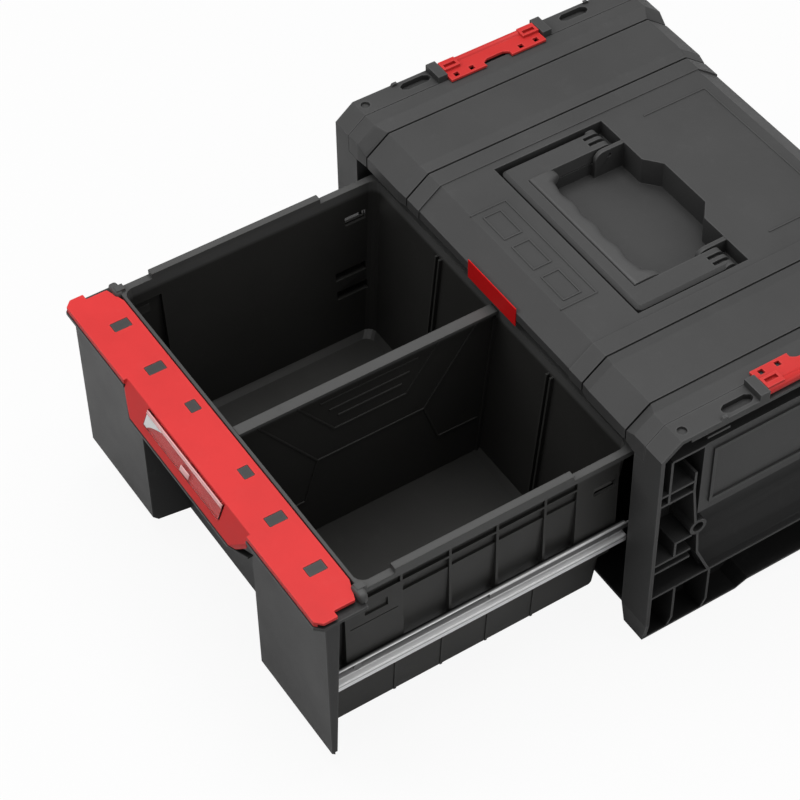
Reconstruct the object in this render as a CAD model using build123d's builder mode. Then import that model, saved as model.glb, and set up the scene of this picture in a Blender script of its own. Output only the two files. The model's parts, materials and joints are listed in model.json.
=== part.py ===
from build123d import *
import os

os.makedirs("parts", exist_ok=True)

# Drawer toolbox in millimetres. +Z is up, the drawer opens towards -Y, and the origin is the
# middle of the area that the casing stands on. The drawer is modelled fully open.

# Casing
case_width = 450.0
case_depth = 310.0
case_height = 244.0
side_width = 32.0
travel_margin = 30.0
seam_gap = 0.3
overrun = 30.0
front_y = -case_depth / 2
rear_y = case_depth / 2
opening_half = case_width / 2 - side_width
drawer_travel = case_depth - travel_margin

# Top cover: a roof with ledges, two long ridges and a centre panel
cover_setback = 20.3
cover_wall = 2.8
shoulder_drop = 6.0
ledge_width = 13.7
ledge_slope_width = 12.5
ridge_drop = 3.5
ridge_inset = 1.5
ridge_width = 46.5
ridge_slope_width = 11.0
strip_drop = 5.2
strip_width = 16.5
panel_drop = 6.2
groove_depth = 1.8
groove_width = 1.6
ledge_chamfer_run = 17.0
ledge_chamfer_drop = 13.5
ridge_chamfer_run = 21.5
ridge_chamfer_drop = 16.5
lip_depth = 37.0
emboss_line = 1.4
emboss_height = 0.9
badge_count = 3
badge_pitch = 40.0
badge_length = 31.0
badge_depth = 17.5
badge_from_front = 41.0
front_line_half = 62.0
front_line_from_front = 59.0
front_line_reach = 34.0
rear_line_half = 82.5
rear_line_from_rear = 35.5
rear_line_reach = 63.0
shoulder_z = case_height - shoulder_drop
ridge_z = shoulder_z - ridge_drop
strip_z = shoulder_z - strip_drop
panel_z = shoulder_z - panel_drop
lip_bottom_z = case_height - lip_depth
badge_y = front_y + badge_from_front
front_line_y = front_y + front_line_from_front
rear_line_y = rear_y - rear_line_from_rear
cover_half = case_width / 2 - cover_setback
ledge_inner = cover_half - ledge_width
ridge_outer = ledge_inner - ledge_slope_width
ridge_inner = ridge_outer - ridge_width
strip_outer = ridge_inner - ridge_slope_width
strip_inner = strip_outer - strip_width

# Side frames
frame_wall = 3.5
frame_plate = 3.0
frame_rib = 2.2
rib_setback = 2.5
deck_end = 58.0
deck_ramp = 4.0
deck_wall = 3.5
foot_length = 94.0
foot_inset_side = 8.0
foot_inset_front = 4.0
foot_taper_height = 28.0
foot_arch_height = 9.0
block_end = 43.0
block_drop = 28.0
block_height = 79.0
block_wall = 3.0
block_face_setback = 3.0
block_frame_inset = 9.0
block_frame_width = 3.0
block_frame_height = 1.6
recess_end = 57.0
recess_sill_share = 0.2336
recess_curve = 24.0
stack_hole_diameter = 8.0
stack_hole_depth = 2.2
stack_hole_from_front = 24.0
stack_hole_from_side = 9.0
stack_slot_length = 28.0
stack_slot_width = 9.0
slot_facet_share = 0.35
stack_slot_from_deck = 16.0
stack_slot_from_side = 8.0
stack_slot_depth = 5.0
deck_rim = 2.6
deck_rim_height = 2.2
rib_boss_from_end = 45.0
rib_boss_share = 0.492
rib_boss_radius = 8.0
rib_boss_sides = 16
rib_boss_bore_radius = 5.0
# Rib lines of a bay: shares of half the depth from the end, and of the height from the floor
bay_rib_shares = (
    ((0.084, 0.689), (0.084, 0.881)),
    ((0.084, 0.881), (0.285, 0.881)),
    ((0.01, 0.734), (0.239, 0.734)),
    ((0.01, 0.689), (0.239, 0.689)),
    ((0.239, 0.775), (0.239, 0.689), (0.27, 0.52)),
    ((0.01, 0.398), (0.255, 0.398)),
    ((0.01, 0.361), (0.255, 0.361)),
    ((0.29, 0.465), (0.303, 0.361), (0.392, 0.235)),
    ((0.155, 0.398), (0.155, 0.465), (0.255, 0.465)),
    ((0.01, 0.235), (0.4, 0.235)),
    ((0.18, 0.007), (0.18, 0.235)),
    ((0.4, 0.007), (0.4, 0.235)),
    ((0.285, 0.915), (0.42, 0.915)),
)
shelf_thickness = 3.4
block_top_z = case_height - block_drop
block_bottom_z = block_top_z - block_height
recess_sill_z = case_height * recess_sill_share
rib_boss_z = case_height * rib_boss_share

# Latches on the side frames
latch_length = 96.0
latch_middle_y = -8.0
latch_end_gap = 0.5
latch_axis_from_side = 5.5
latch_barrel_radius = 3.9
latch_plate = 2.4
latch_step = 1.6
latch_block_width = 11.0
latch_reach = 20.5
latch_floor_gap = 0.6
latch_pin_radius = 1.5
latch_pin_seat = 5.5
latch_window = 4.5
latch_window_shares = (-0.42, -0.26, 0.26, 0.42)
latch_finger_length = 26.0
latch_finger_width = 10.0
latch_bead = 1.2
pin_clearance = 0.05
turn_clearance = 0.1

# Carry handle in its pocket
handle_width = 188.0
handle_arm = 22.0
handle_bar = 12.0
handle_thickness = 12.0
handle_from_front = 76.0
handle_sink = 0.8
handle_edge = 2.8
handle_corner = 5.0
hinge_run = 88.5
hinge_pin_radius = 2.0
hinge_pin_recess = 1.6
knuckle_groove = 3.6
knuckle_groove_depth = 3.2
knuckle_count = 3
knuckle_reach = 11.0
barrel_sides = 20
pocket_gap = 3.5
handle_floor_gap = 1.2
well_run = 14.5
bracket_thickness = 4.2
bracket_run = 13.5
bracket_rise = 6.2
bracket_corner = 8.5
pocket_depth = 26.0
pocket_width = 132.0
pocket_front_run = 9.0
pocket_step_width = 83.0
pocket_back_width = 54.0
pocket_back_run = 12.0
grip_depth = 17.0
grip_end_depth = 26.0
grip_end_width = 12.0
grip_wave = 1.8
grip_waves = 4
grip_gap = 0.5
grip_rise = 1.6
handle_front_y = front_y + handle_from_front
hinge_y = handle_front_y + hinge_run
bracket_front_y = hinge_y - bracket_run
well_rear_y = hinge_y + well_run
pocket_front_y = handle_front_y + pocket_front_run
pocket_back_y = well_rear_y + pocket_back_run
handle_top_z = panel_z - handle_sink
handle_bottom_z = handle_top_z - handle_thickness
hinge_z = handle_bottom_z + handle_thickness / 2
handle_floor_z = handle_bottom_z - handle_floor_gap
pocket_floor_z = panel_z - pocket_depth
handle_half = handle_width / 2
arm_inner = handle_half - handle_arm
well_half = handle_half + pocket_gap
pocket_half = pocket_width / 2

# Base tray and rear panel
base_bottom_z = 12.0
base_wall = 3.0
base_setback = 8.0
base_rib_height = 7.0
base_rib = 2.2
base_rib_count = 5
base_rib_shares = (-0.5, 0.0, 0.5)
half_share = 0.5
base_boss_radius = 4.2
base_boss_length = 16.0
base_boss_end = 45.0
rear_wall = 3.0
rear_rib = 2.4
rear_rib_count = 9
rear_rib_margin_share = 0.9
base_top_z = base_bottom_z + base_wall
base_half = opening_half - seam_gap
base_boss_spread = rear_y - base_boss_end

# Plain tag under the front edge
tag_width = 66.0
tag_height = 19.0
tag_thickness = 0.8
tag_drop = 6.0
tag_bottom_z = lip_bottom_z - tag_drop

# Drawer tub: a bin whose walls lean outwards
tub_wall = 2.5
tub_floor = 3.0
tub_base_z = 30.0
tub_rim_drop = 13.0
tub_side_space = 14.5
tub_side_lean = 12.0
tub_end_space = 66.5
tub_front_lean = 9.0
tub_rear_lean = 16.0
tub_corner = 7.0
facet_share = 0.731
rim_overhang = 4.0
rim_thickness = 2.8
rim_skirt = 5.1
rim_skirt_wall = 2.0
rim_raise = 5.0
# Places along the side as shares of the tub's length from its front
raise_shares = (0.12, 0.768)
side_rib_shares = (0.153, 0.328, 0.5, 0.677)
rear_pad_shares = (0.79, 0.951)
side_rib = 2.2
low_rib = 0.8
side_belt_drop = 18.6
side_belt = 2.4
side_panel_drop = 30.5
side_panel = 2.0
mount_pad_wall = 2.4
front_pad_lead = 12.7
pad_line_drop = 44.5
pad_line = 0.9
guide_spread = 78.0
guide_rib = 2.0
guide_depth = 3.0
guide_drop = 10.0
floor_bevel = 5.5
floor_bevel_rise = 4.0
pocket_from_rim = 48.5
pocket_length = 30.0
pocket_rises = (53.0, 74.0)
pocket_height = 9.0
pocket_back = 3.0
pad_slot_drop = 35.5
pad_slot_length = 20.0
rear_slot_from_rim = 35.0
front_slot_lead = 4.3
hook_lead = 2.8
hook_length = 5.0
hook_rise = 3.0
tub_rim_z = lip_bottom_z - tub_rim_drop
rim_half = opening_half - tub_side_space
base_side = rim_half - tub_side_lean
tub_length = case_depth - tub_end_space

# Drawer front with two pods and a finger recess between them
front_gap = 2.0
front_return = 12.5
front_bottom_z = 24.0
front_wall = 3.0
front_setback = 11.0
pod_depth = 35.4
finger_recess_width = 173.6
finger_recess_draft = 4.3
front_edge = 4.5
front_return_foot = 5.0
deck_thickness = 3.0
deck_step = 5.5
deck_edge = 0.6

# Red pull strip, its sloped grip and the label window
strip_lip_reach = 7.0
strip_back_setback = 0.4
strip_plate = 2.7
strip_step = 1.0
strip_lip = 2.5
strip_side = 1.2
strip_end_step = 6.0
strip_end_front_share = 0.42
strip_end_back_share = 0.85
strip_back_corner = 24.0
strip_corner = 5.5
grip_slope_run = 10.0
grip_slope_drop = 24.5
grip_face_width = 150.0
grip_base_width = 186.0
grip_ridge_setback = 3.5
grip_wall = 2.4
grip_tongue = 8.0
grip_backing_drop = 1.4
foot_thickness = 1.8
window_width = 114.0
window_height = 15.0
window_thickness = 2.0
window_sink = 0.8
window_from_ridge = 2.0
window_gap = 0.15
peg_gap = 0.3
peg_sink = 0.3
outer_peg_length = 15.0
outer_peg_width = 9.5
inner_peg_length = 8.5
inner_peg_width = 11.5
outer_peg_from_panel = 20.0
inner_peg_from_panel = 24.5
outer_peg_spreads = (146.0, 90.5)
inner_peg_spread = 39.8

# Divider across the middle of the tub
divider_thickness = 2.5
divider_flange_width = 10.0
divider_flange = 3.0
divider_step = 1.4
divider_gap = 0.4
chevron_rib = 1.6
chevron_height = 0.9
# Raised lines of the divider: shares of half its length from the middle, and of its height
divider_line_shares = (
    ((0.411, 0.531), (0.826, 0.975)),
    ((0.275, 0.709), (0.534, 0.975)),
    ((0.37, 0.93),),
    ((0.305, 0.858),),
    ((0.243, 0.794),),
)
divider_tail_shares = ((0.411, 0.531), (0.522, 0.266), (0.84, 0.26))

# Telescopic slides
slide_rise = 63.5
slide_lip = 7.3
slide_room = 12.0
slide_wall = 1.2
slide_play = 0.3
slide_top_reach = 4.4
slide_floor_reach = 6.2
mid_rail_setback = 1.7
mid_rail_height = 6.0
mid_rail_share = 0.806
case_rail_margin = 18.5
rail_end_space = 40.0
rail_panel_gap = 1.0
rail_seat_gap = 0.2

# Screws
screw_radius = 1.9
screw_head_radius = 3.8
screw_head = 1.3
screw_fit = 0.05
screw_reach = 2.2
screw_sides = 8
case_screw_shares = (-0.42, 0.0, 0.42)
front_screw_spread = 60.0
front_screw_shares = (0.3425, 0.7706)

# Places of the open drawer
panel_y = front_y + front_setback - drawer_travel
tub_front_y = panel_y + pod_depth + seam_gap
tub_rear_y = tub_front_y + tub_length
tub_middle_y = (tub_front_y + tub_rear_y) / 2
tub_base_front_y = tub_front_y + tub_front_lean
tub_base_rear_y = tub_rear_y - tub_rear_lean
tub_base_length = tub_base_rear_y - tub_base_front_y
tub_base_middle_y = (tub_base_front_y + tub_base_rear_y) / 2
tub_floor_z = tub_base_z + tub_floor
tub_height = tub_rim_z - tub_base_z
rim_outer = rim_half + rim_overhang
strip_top_z = tub_rim_z - strip_step
deck_top_z = strip_top_z - deck_step
divider_top_z = tub_rim_z - divider_step
guide_top_z = tub_rim_z - guide_drop
front_pad_top_z = deck_top_z - deck_thickness - seam_gap
front_screw_levels = [front_bottom_z + share * (deck_top_z - front_bottom_z) for share in front_screw_shares]
side_rib_places = [tub_front_y + share * tub_length for share in side_rib_shares]
rear_pad = [tub_front_y + share * tub_length for share in rear_pad_shares]
front_pad = (tub_front_y - front_pad_lead, side_rib_places[0])
slide_low_z = tub_base_z + slide_rise
slide_floor_z = slide_low_z + slide_lip
slide_top_z = slide_floor_z + slide_room + slide_wall
slide_z = slide_floor_z + slide_room / 2


def slab(x_span, y_span, z_span, mode=Mode.ADD):
    """A block between two limits on each axis."""
    size = [span[1] - span[0] for span in (x_span, y_span, z_span)]
    middle = Vector(*[(span[0] + span[1]) / 2 for span in (x_span, y_span, z_span)])
    with Locations(middle):
        Box(*size, mode=mode)


def rod(axis_plane, radius, length, mode=Mode.ADD):
    """A round bar that starts on a plane and runs along the plane's normal."""
    with BuildSketch(axis_plane) as section:
        Circle(radius)
    extrude(section.sketch, amount=length, mode=mode)


def stud(axis_plane, radius, length, mode=Mode.ADD):
    """A small screw part or its hole, with a few flat sides."""
    with BuildSketch(axis_plane) as section:
        RegularPolygon(radius, screw_sides)
    extrude(section.sketch, amount=length, mode=mode)


def slot_face(length, width):
    """A slot along Y whose ends are turned by facets."""
    side = width / 2
    cut = side * slot_facet_share
    half = [(side, length / 2 - side), (side - cut, length / 2 - cut), (cut, length / 2)]
    top = half + [(-x, y) for x, y in reversed(half)]
    Polygon(*top, *[(-x, -y) for x, y in top])


def prism(plane, points, length, both=False, mode=Mode.ADD):
    """A closed outline carried along the normal of its plane."""
    with BuildSketch(plane) as section:
        with BuildLine():
            Polyline(*points, close=True)
        make_face()
    extrude(section.sketch, amount=length, both=both, mode=mode)


def along_x(x, y, z, sign=1):
    """A plane at a point, whose normal points along X."""
    return Plane(origin=(x, y, z), x_dir=(0, 1, 0), z_dir=(sign, 0, 0))


def along_y(x, y, z, sign=1):
    """A plane at a point, whose normal points along Y."""
    return Plane(origin=(x, y, z), x_dir=(1, 0, 0), z_dir=(0, sign, 0))


def near(edges, axis, place):
    """The edges whose middle lies at a place on an axis."""
    return edges.filter_by_position(axis, place - seam_gap, place + seam_gap)


def lowered(profile, drop):
    """A zone of the roof set down and drawn in by the same amount."""
    top, low, run, inset = profile
    return top - drop, low - drop, run, inset + drop


def roof_zones(outer_x, groove, drop):
    """Zones of the roof from one seam to the other, each with its profile at both of its sides."""
    ledge = lowered((shoulder_z, shoulder_z - ledge_chamfer_drop, ledge_chamfer_run, 0), drop)
    ridge = lowered((ridge_z, ridge_z - ridge_chamfer_drop, ridge_chamfer_run, ridge_inset), drop)
    strip = lowered(ridge, ridge_z - strip_z)
    panel = lowered(ridge, ridge_z - panel_z)
    outer_groove = ridge_outer + groove_width
    inner_groove = strip_outer + groove_width
    right = [
        (outer_x, ledge_inner, ledge, ledge),
        (ledge_inner, outer_groove, ledge, ridge),
        (outer_groove, ridge_outer, lowered(ridge, groove), lowered(ridge, groove)),
        (ridge_outer, ridge_inner, ridge, ridge),
        (ridge_inner, inner_groove, ridge, strip),
        (inner_groove, strip_outer, lowered(strip, groove), lowered(strip, groove)),
        (strip_outer, strip_inner, strip, strip),
    ]
    left = [(-start, -end, first, second) for start, end, first, second in right]
    return right + [(strip_inner, -strip_inner, panel, panel)] + left


def roof_body(outer_x, groove, drop, bottom_z):
    """The roof as a solid down to a level: lips, sloped front and rear edges, and all zones."""
    with BuildPart(mode=Mode.PRIVATE) as body:
        for start, end, first, second in roof_zones(outer_x, groove, drop):
            faces = []
            for x, (top, low, run, inset) in ((start, first), (end, second)):
                edge = rear_y - inset
                half = [(edge, bottom_z), (edge, low), (edge - run, top)]
                outline = half + [(-y, z) for y, z in reversed(half)]
                with BuildSketch(Plane.YZ.offset(x)) as section:
                    with BuildLine():
                        Polyline(*outline, close=True)
                    make_face()
                faces.append(section.sketch)
            loft(faces, ruled=True)
    return body.part


# Top cover with the pocket of the handle
with BuildPart() as top_cover:
    add(roof_body(cover_half, groove_depth, 0, lip_bottom_z))
    add(roof_body(cover_half + overrun, 0, cover_wall, lip_bottom_z - overrun), mode=Mode.SUBTRACT)
    with BuildSketch(Plane.XY.offset(panel_z - emboss_height)):
        for index in range(badge_count):
            with Locations(((index - (badge_count - 1) / 2) * badge_pitch, badge_y)):
                Rectangle(badge_length, badge_depth)
                Rectangle(badge_length - 2 * emboss_line, badge_depth - 2 * emboss_line, mode=Mode.SUBTRACT)
        for half, line_y, reach in (
            (front_line_half, front_line_y, -front_line_reach),
            (rear_line_half, rear_line_y, -rear_line_reach),
        ):
            with BuildLine():
                Polyline((-half, line_y + reach), (-half, line_y), (half, line_y), (half, line_y + reach))
            trace(line_width=emboss_line)
    extrude(amount=2 * emboss_height)
    well_front_y = handle_front_y - pocket_gap
    shell_top = panel_z - cover_wall / 2
    slab(
        (-well_half - cover_wall, well_half + cover_wall),
        (well_front_y - cover_wall, well_rear_y + cover_wall),
        (handle_floor_z - cover_wall, shell_top),
    )
    pocket_outline = [
        (-arm_inner, pocket_front_y),
        (arm_inner, pocket_front_y),
        (arm_inner, bracket_front_y),
        (pocket_half, bracket_front_y),
        (pocket_half, well_rear_y),
        (pocket_step_width / 2, well_rear_y),
        (pocket_back_width / 2, pocket_back_y),
        (-pocket_back_width / 2, pocket_back_y),
        (-pocket_step_width / 2, well_rear_y),
        (-pocket_half, well_rear_y),
        (-pocket_half, bracket_front_y),
        (-arm_inner, bracket_front_y),
    ]
    with BuildSketch(Plane.XY.offset(pocket_floor_z - cover_wall)):
        with BuildLine():
            Polyline(*pocket_outline, close=True)
        make_face()
        offset(amount=cover_wall, kind=Kind.INTERSECTION)
    extrude(amount=shell_top - pocket_floor_z + cover_wall)
    slab((-well_half, well_half), (well_front_y, bracket_front_y), (handle_floor_z, case_height), Mode.SUBTRACT)
    bracket_outer = pocket_half + bracket_thickness
    for side in (-1, 1):
        well = sorted((side * bracket_outer, side * well_half))
        slab(well, (bracket_front_y, well_rear_y), (handle_floor_z, case_height), Mode.SUBTRACT)
    prism(Plane.XY.offset(pocket_floor_z), pocket_outline, overrun + pocket_depth, mode=Mode.SUBTRACT)
    bracket_top = hinge_z + bracket_rise
    for side in (-1, 1):
        bracket = sorted((side * pocket_half, side * bracket_outer))
        slab(bracket, (bracket_front_y, well_rear_y), (bracket_top, case_height), Mode.SUBTRACT)
        bore_start = along_x(side * (pocket_half - overrun / 2), hinge_y, hinge_z, side)
        rod(bore_start, hinge_pin_radius + pin_clearance, well_half - pocket_half + overrun, Mode.SUBTRACT)
    corners = near(near(top_cover.edges().filter_by(Axis.X), Axis.Z, bracket_top), Axis.Y, bracket_front_y)
    fillet(corners, radius=bracket_corner)
top_cover.part.label = "top_cover"
export_step(top_cover.part, "parts/top_cover.step")

# Side frames
frame_half = case_width / 2
frame_depth = frame_half - opening_half
deck_half = rear_y - deck_end
seam_half = cover_half + seam_gap
chamfer_low_z = shoulder_z - ledge_chamfer_drop
foot_half = rear_y - foot_inset_front
rib_outer = frame_half - rib_setback
block_half = rear_y - block_end
recess_half = rear_y - recess_end
shelf_top = shoulder_z - cover_wall - seam_gap
shelf_bottom = shelf_top - shelf_thickness
latch_axis_x = frame_half - latch_axis_from_side
latch_axis_z = case_height - latch_barrel_radius - latch_bead
latch_floor_z = latch_axis_z - latch_barrel_radius - latch_floor_gap
latch_front_y = latch_middle_y - latch_length / 2
latch_rear_y = latch_middle_y + latch_length / 2


def frame_outline(inset):
    """The side view of a frame, drawn in by an inset: feet, arch, chamfered shoulders and deck."""
    front_half = [
        (foot_half - foot_length, inset),
        (foot_half - inset, inset),
        (rear_y - inset, foot_taper_height),
        (rear_y - inset, chamfer_low_z - inset / 2),
        (rear_y - ledge_chamfer_run - inset / 2, shoulder_z - inset),
        (deck_half + deck_ramp - inset / 2, shoulder_z - inset),
        (deck_half - inset / 2, case_height - inset),
    ]
    arch = foot_half - foot_length - foot_arch_height
    return [(arch, foot_arch_height + inset)] + front_half + [(-y, z) for y, z in reversed(front_half)] + [
        (-arch, foot_arch_height + inset)
    ]


with BuildPart() as right_side_frame:
    # Inner plate, kept under the cover's roof and behind its lips
    plate_end = rear_y - cover_wall - seam_gap
    plate_low = lip_bottom_z - seam_gap
    upper = [
        (rear_y, plate_low),
        (plate_end, plate_low),
        (plate_end, chamfer_low_z - cover_wall - seam_gap),
        (rear_y - ledge_chamfer_run - cover_wall - seam_gap, shelf_top),
    ]
    lower = frame_outline(0)[:4]
    half = lower[:-1] + upper
    plate_points = half + [(-y, z) for y, z in reversed(half)]
    prism(Plane.YZ.offset(opening_half), plate_points, frame_plate)
    # Rim all round outside the seam, and below the cover across the whole depth
    with BuildSketch(Plane.YZ.offset(seam_half)):
        with BuildLine():
            Polyline(*frame_outline(0), close=True)
        make_face()
        with BuildLine():
            Polyline(*frame_outline(frame_wall), close=True)
        make_face(mode=Mode.SUBTRACT)
    extrude(amount=frame_half - seam_half)
    with BuildSketch(Plane.YZ.offset(opening_half)):
        with BuildLine():
            Polyline(*frame_outline(0), close=True)
        make_face()
        with BuildLine():
            Polyline(*frame_outline(frame_wall), close=True)
        make_face(mode=Mode.SUBTRACT)
        with Locations((0, plate_low + case_height)):
            Rectangle(2 * case_depth, 2 * case_height, mode=Mode.SUBTRACT)
    extrude(amount=seam_half - opening_half)
    # Shelf that carries the ledge of the cover and the floor under the latch
    shelf_end = rear_y - ledge_chamfer_run - cover_wall - 2 * frame_wall
    slab((opening_half, frame_half), (-shelf_end, shelf_end), (shelf_bottom, shelf_top))
    # Block with a raised border, and the curved hand recess below it
    block_face = frame_half - block_face_setback
    slab((opening_half, block_face), (-block_half, block_half), (block_bottom_z, block_top_z))
    slab(
        (opening_half - overrun, block_face - block_wall),
        (-block_half + block_wall, block_half - block_wall),
        (block_bottom_z + block_wall, block_top_z - block_wall),
        Mode.SUBTRACT,
    )
    border_middle_z = (block_bottom_z + block_top_z) / 2
    border_height = block_top_z - block_bottom_z - 2 * block_frame_inset
    border_length = 2 * (block_half - block_frame_inset)
    with BuildSketch(along_x(block_face, 0, border_middle_z)):
        Rectangle(border_length, border_height)
        border_hole = (border_length - 2 * block_frame_width, border_height - 2 * block_frame_width)
        Rectangle(*border_hole, mode=Mode.SUBTRACT)
    extrude(amount=block_frame_height)
    plate_face = opening_half + frame_plate
    curve_z = recess_sill_z + frame_rib / 2
    with BuildSketch(Plane.XZ):
        with BuildLine():
            Polyline(
                (plate_face, curve_z + recess_curve),
                (plate_face - frame_plate / 2, curve_z + recess_curve),
                (plate_face - frame_plate / 2, recess_sill_z),
                (plate_face + recess_curve, recess_sill_z),
                (plate_face + recess_curve, curve_z),
            )
            CenterArc((plate_face + recess_curve, curve_z + recess_curve), recess_curve, 180, 90)
        make_face()
    extrude(amount=recess_half, both=True)
    slab((opening_half, rib_outer), (-recess_half, recess_half),
         (recess_sill_z - frame_rib / 2, recess_sill_z + frame_rib / 2))
    # Ribs of the front and rear bays, with a hollow boss between them
    for end in (-1, 1):
        with BuildSketch(Plane.YZ.offset(opening_half)):
            for line in bay_rib_shares:
                points = [(end * (1 - depth) * rear_y, height * case_height) for depth, height in line]
                with BuildLine():
                    Polyline(*points)
                trace(line_width=frame_rib)
            with Locations((end * (rear_y - rib_boss_from_end), rib_boss_z)):
                RegularPolygon(rib_boss_radius, rib_boss_sides)
        extrude(amount=rib_outer - opening_half)
        with BuildSketch(Plane.YZ.offset(plate_face)):
            with Locations((end * (rear_y - rib_boss_from_end), rib_boss_z)):
                RegularPolygon(rib_boss_bore_radius, rib_boss_sides)
        extrude(amount=frame_depth, mode=Mode.SUBTRACT)
    # Deck beside the latch, level with the shoulder inside a low rim, with holes and slots for stacked boxes
    seat_length = latch_end_gap + latch_pin_seat + frame_wall
    for end, seat_y in ((-1, latch_front_y), (1, latch_rear_y)):
        seat = sorted((seat_y + end * latch_end_gap, seat_y + end * seat_length))
        slab((seam_half, frame_half), seat, (shelf_bottom, case_height - deck_wall / 2))
        deck_span = sorted((seat_y + end * seat_length, end * (deck_half + deck_ramp)))
        slab((seam_half, frame_half), deck_span, (shelf_top, shoulder_z))
        deck_inner = (seam_half, frame_half - deck_rim)
        slab(deck_inner, deck_span, (shoulder_z, shoulder_z + overrun), Mode.SUBTRACT)
        rim_top_z = shoulder_z + deck_rim_height
        slab((seam_half, frame_half), deck_span, (rim_top_z, rim_top_z + overrun), Mode.SUBTRACT)
        hole_y = end * (rear_y - stack_hole_from_front)
        with BuildSketch(Plane.XY.offset(shoulder_z - stack_hole_depth)):
            with Locations((frame_half - stack_hole_from_side, hole_y)):
                Circle(stack_hole_diameter / 2)
        extrude(amount=overrun, mode=Mode.SUBTRACT)
        with BuildSketch(Plane.XY.offset(shoulder_z - stack_slot_depth)):
            with Locations((frame_half - stack_slot_from_side, end * (deck_half - stack_slot_from_deck))):
                slot_face(stack_slot_length, stack_slot_width)
        extrude(amount=overrun, mode=Mode.SUBTRACT)
    # Notch of the latch with the bore of its pin
    slab(
        (seam_half - overrun, frame_half + overrun),
        (latch_front_y - latch_end_gap, latch_rear_y + latch_end_gap),
        (latch_floor_z, case_height + overrun),
        Mode.SUBTRACT,
    )
    pin_length = latch_length + 2 * (latch_end_gap + latch_pin_seat)
    pin_start = along_y(latch_axis_x, latch_middle_y - pin_length / 2, latch_axis_z)
    rod(pin_start, latch_pin_radius + pin_clearance, pin_length, Mode.SUBTRACT)
    # Feet drawn in at the outer side
    taper = [
        (frame_half, foot_taper_height),
        (frame_half + overrun, foot_taper_height),
        (frame_half + overrun, -overrun),
        (frame_half - foot_inset_side, -overrun),
        (frame_half - foot_inset_side, 0),
    ]
    prism(Plane.XZ, taper, case_depth, both=True, mode=Mode.SUBTRACT)
    # Screw holes into the base tray and of the slide
    for y in (-base_boss_spread, base_boss_spread):
        screw_line = along_x(opening_half - overrun, y, base_bottom_z)
        stud(screw_line, screw_radius + screw_fit, overrun + frame_plate + seam_gap, Mode.SUBTRACT)
    case_rail_front_y = front_y + front_setback + front_return + rail_panel_gap
    case_rail_length = rear_y - case_rail_margin - case_rail_front_y
    case_rail_y = case_rail_front_y + case_rail_length / 2
    for share in case_screw_shares:
        screw_line = along_x(opening_half - overrun, case_rail_y + share * case_rail_length, slide_z)
        stud(screw_line, screw_radius + screw_fit, overrun + frame_plate + seam_gap, Mode.SUBTRACT)
right_side_frame.part.label = "right_side_frame"
export_step(right_side_frame.part, "parts/right_side_frame.step")

with BuildPart() as left_side_frame:
    mirror(right_side_frame.part, about=Plane.YZ)
left_side_frame.part.label = "left_side_frame"
export_step(left_side_frame.part, "parts/left_side_frame.step")

# Latch with its windows and finger cut-out, and its pin
with BuildPart() as right_latch:
    latch_inner_x = latch_axis_x - latch_reach
    plate_top = latch_axis_z + latch_barrel_radius - latch_step
    plate_bottom = plate_top - latch_plate
    barrel = along_y(latch_axis_x, latch_front_y, latch_axis_z)
    rod(barrel, latch_barrel_radius, latch_length)
    slab((latch_inner_x, latch_axis_x), (latch_front_y, latch_rear_y), (plate_bottom, plate_top))
    lug_length = latch_length / 6
    lug_outer = latch_axis_x + latch_barrel_radius / 2
    for lug_y in (latch_front_y, latch_rear_y - lug_length):
        lug = (lug_outer - latch_block_width, lug_outer)
        slab(lug, (lug_y, lug_y + lug_length), (plate_bottom, case_height))
        slab(
            (lug_outer - latch_block_width + latch_plate, lug_outer - 2 * latch_plate),
            (lug_y + latch_plate, lug_y + lug_length - latch_plate),
            (plate_top, case_height),
            Mode.SUBTRACT,
        )
    with BuildSketch(Plane.XY.offset(plate_bottom - overrun / 2)):
        with Locations((latch_inner_x + latch_plate, latch_middle_y)):
            slot_face(latch_finger_length, latch_finger_width)
        for window_share in latch_window_shares:
            with Locations((latch_inner_x + 2 * latch_plate, latch_middle_y + window_share * latch_length)):
                Rectangle(latch_window, latch_window)
    extrude(amount=overrun, mode=Mode.SUBTRACT)
    rod(barrel, latch_pin_radius + turn_clearance, latch_length, Mode.SUBTRACT)
right_latch.part.label = "right_latch"
export_step(right_latch.part, "parts/right_latch.step")

with BuildPart() as left_latch:
    mirror(right_latch.part, about=Plane.YZ)
left_latch.part.label = "left_latch"
export_step(left_latch.part, "parts/left_latch.step")

with BuildPart() as right_latch_pin:
    rod(pin_start, latch_pin_radius, pin_length)
right_latch_pin.part.label = "right_latch_pin"
export_step(right_latch_pin.part, "parts/right_latch_pin.step")

with BuildPart() as left_latch_pin:
    mirror(right_latch_pin.part, about=Plane.YZ)
left_latch_pin.part.label = "left_latch_pin"
export_step(left_latch_pin.part, "parts/left_latch_pin.step")

# Base tray with ribs and screw bosses below it
with BuildPart() as base_tray:
    base_front_y = front_y + base_setback
    base_rear_y = rear_y - rear_wall - rear_rib - seam_gap
    slab((-base_half, base_half), (base_front_y, rear_y - frame_wall), (base_bottom_z, base_top_z))
    rib_pitch = (base_rear_y - base_front_y) / base_rib_count
    rib_places = [base_front_y + (index + half_share) * rib_pitch for index in range(base_rib_count)]
    for y in rib_places:
        slab((-base_half, base_half), (y, y + base_rib), (base_bottom_z - base_rib_height, base_bottom_z))
    for x_share in base_rib_shares:
        x = x_share * base_half
        slab((x, x + base_rib), (base_front_y, base_rear_y), (base_bottom_z - base_rib_height, base_bottom_z))
    for side in (-1, 1):
        for y in (-base_boss_spread, base_boss_spread):
            boss = along_x(side * (base_half - base_boss_length), y, base_bottom_z, side)
            stud(boss, base_boss_radius, base_boss_length)
            stud(boss, screw_radius + screw_fit, base_boss_length, Mode.SUBTRACT)
base_tray.part.label = "base_tray"
export_step(base_tray.part, "parts/base_tray.step")

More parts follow.
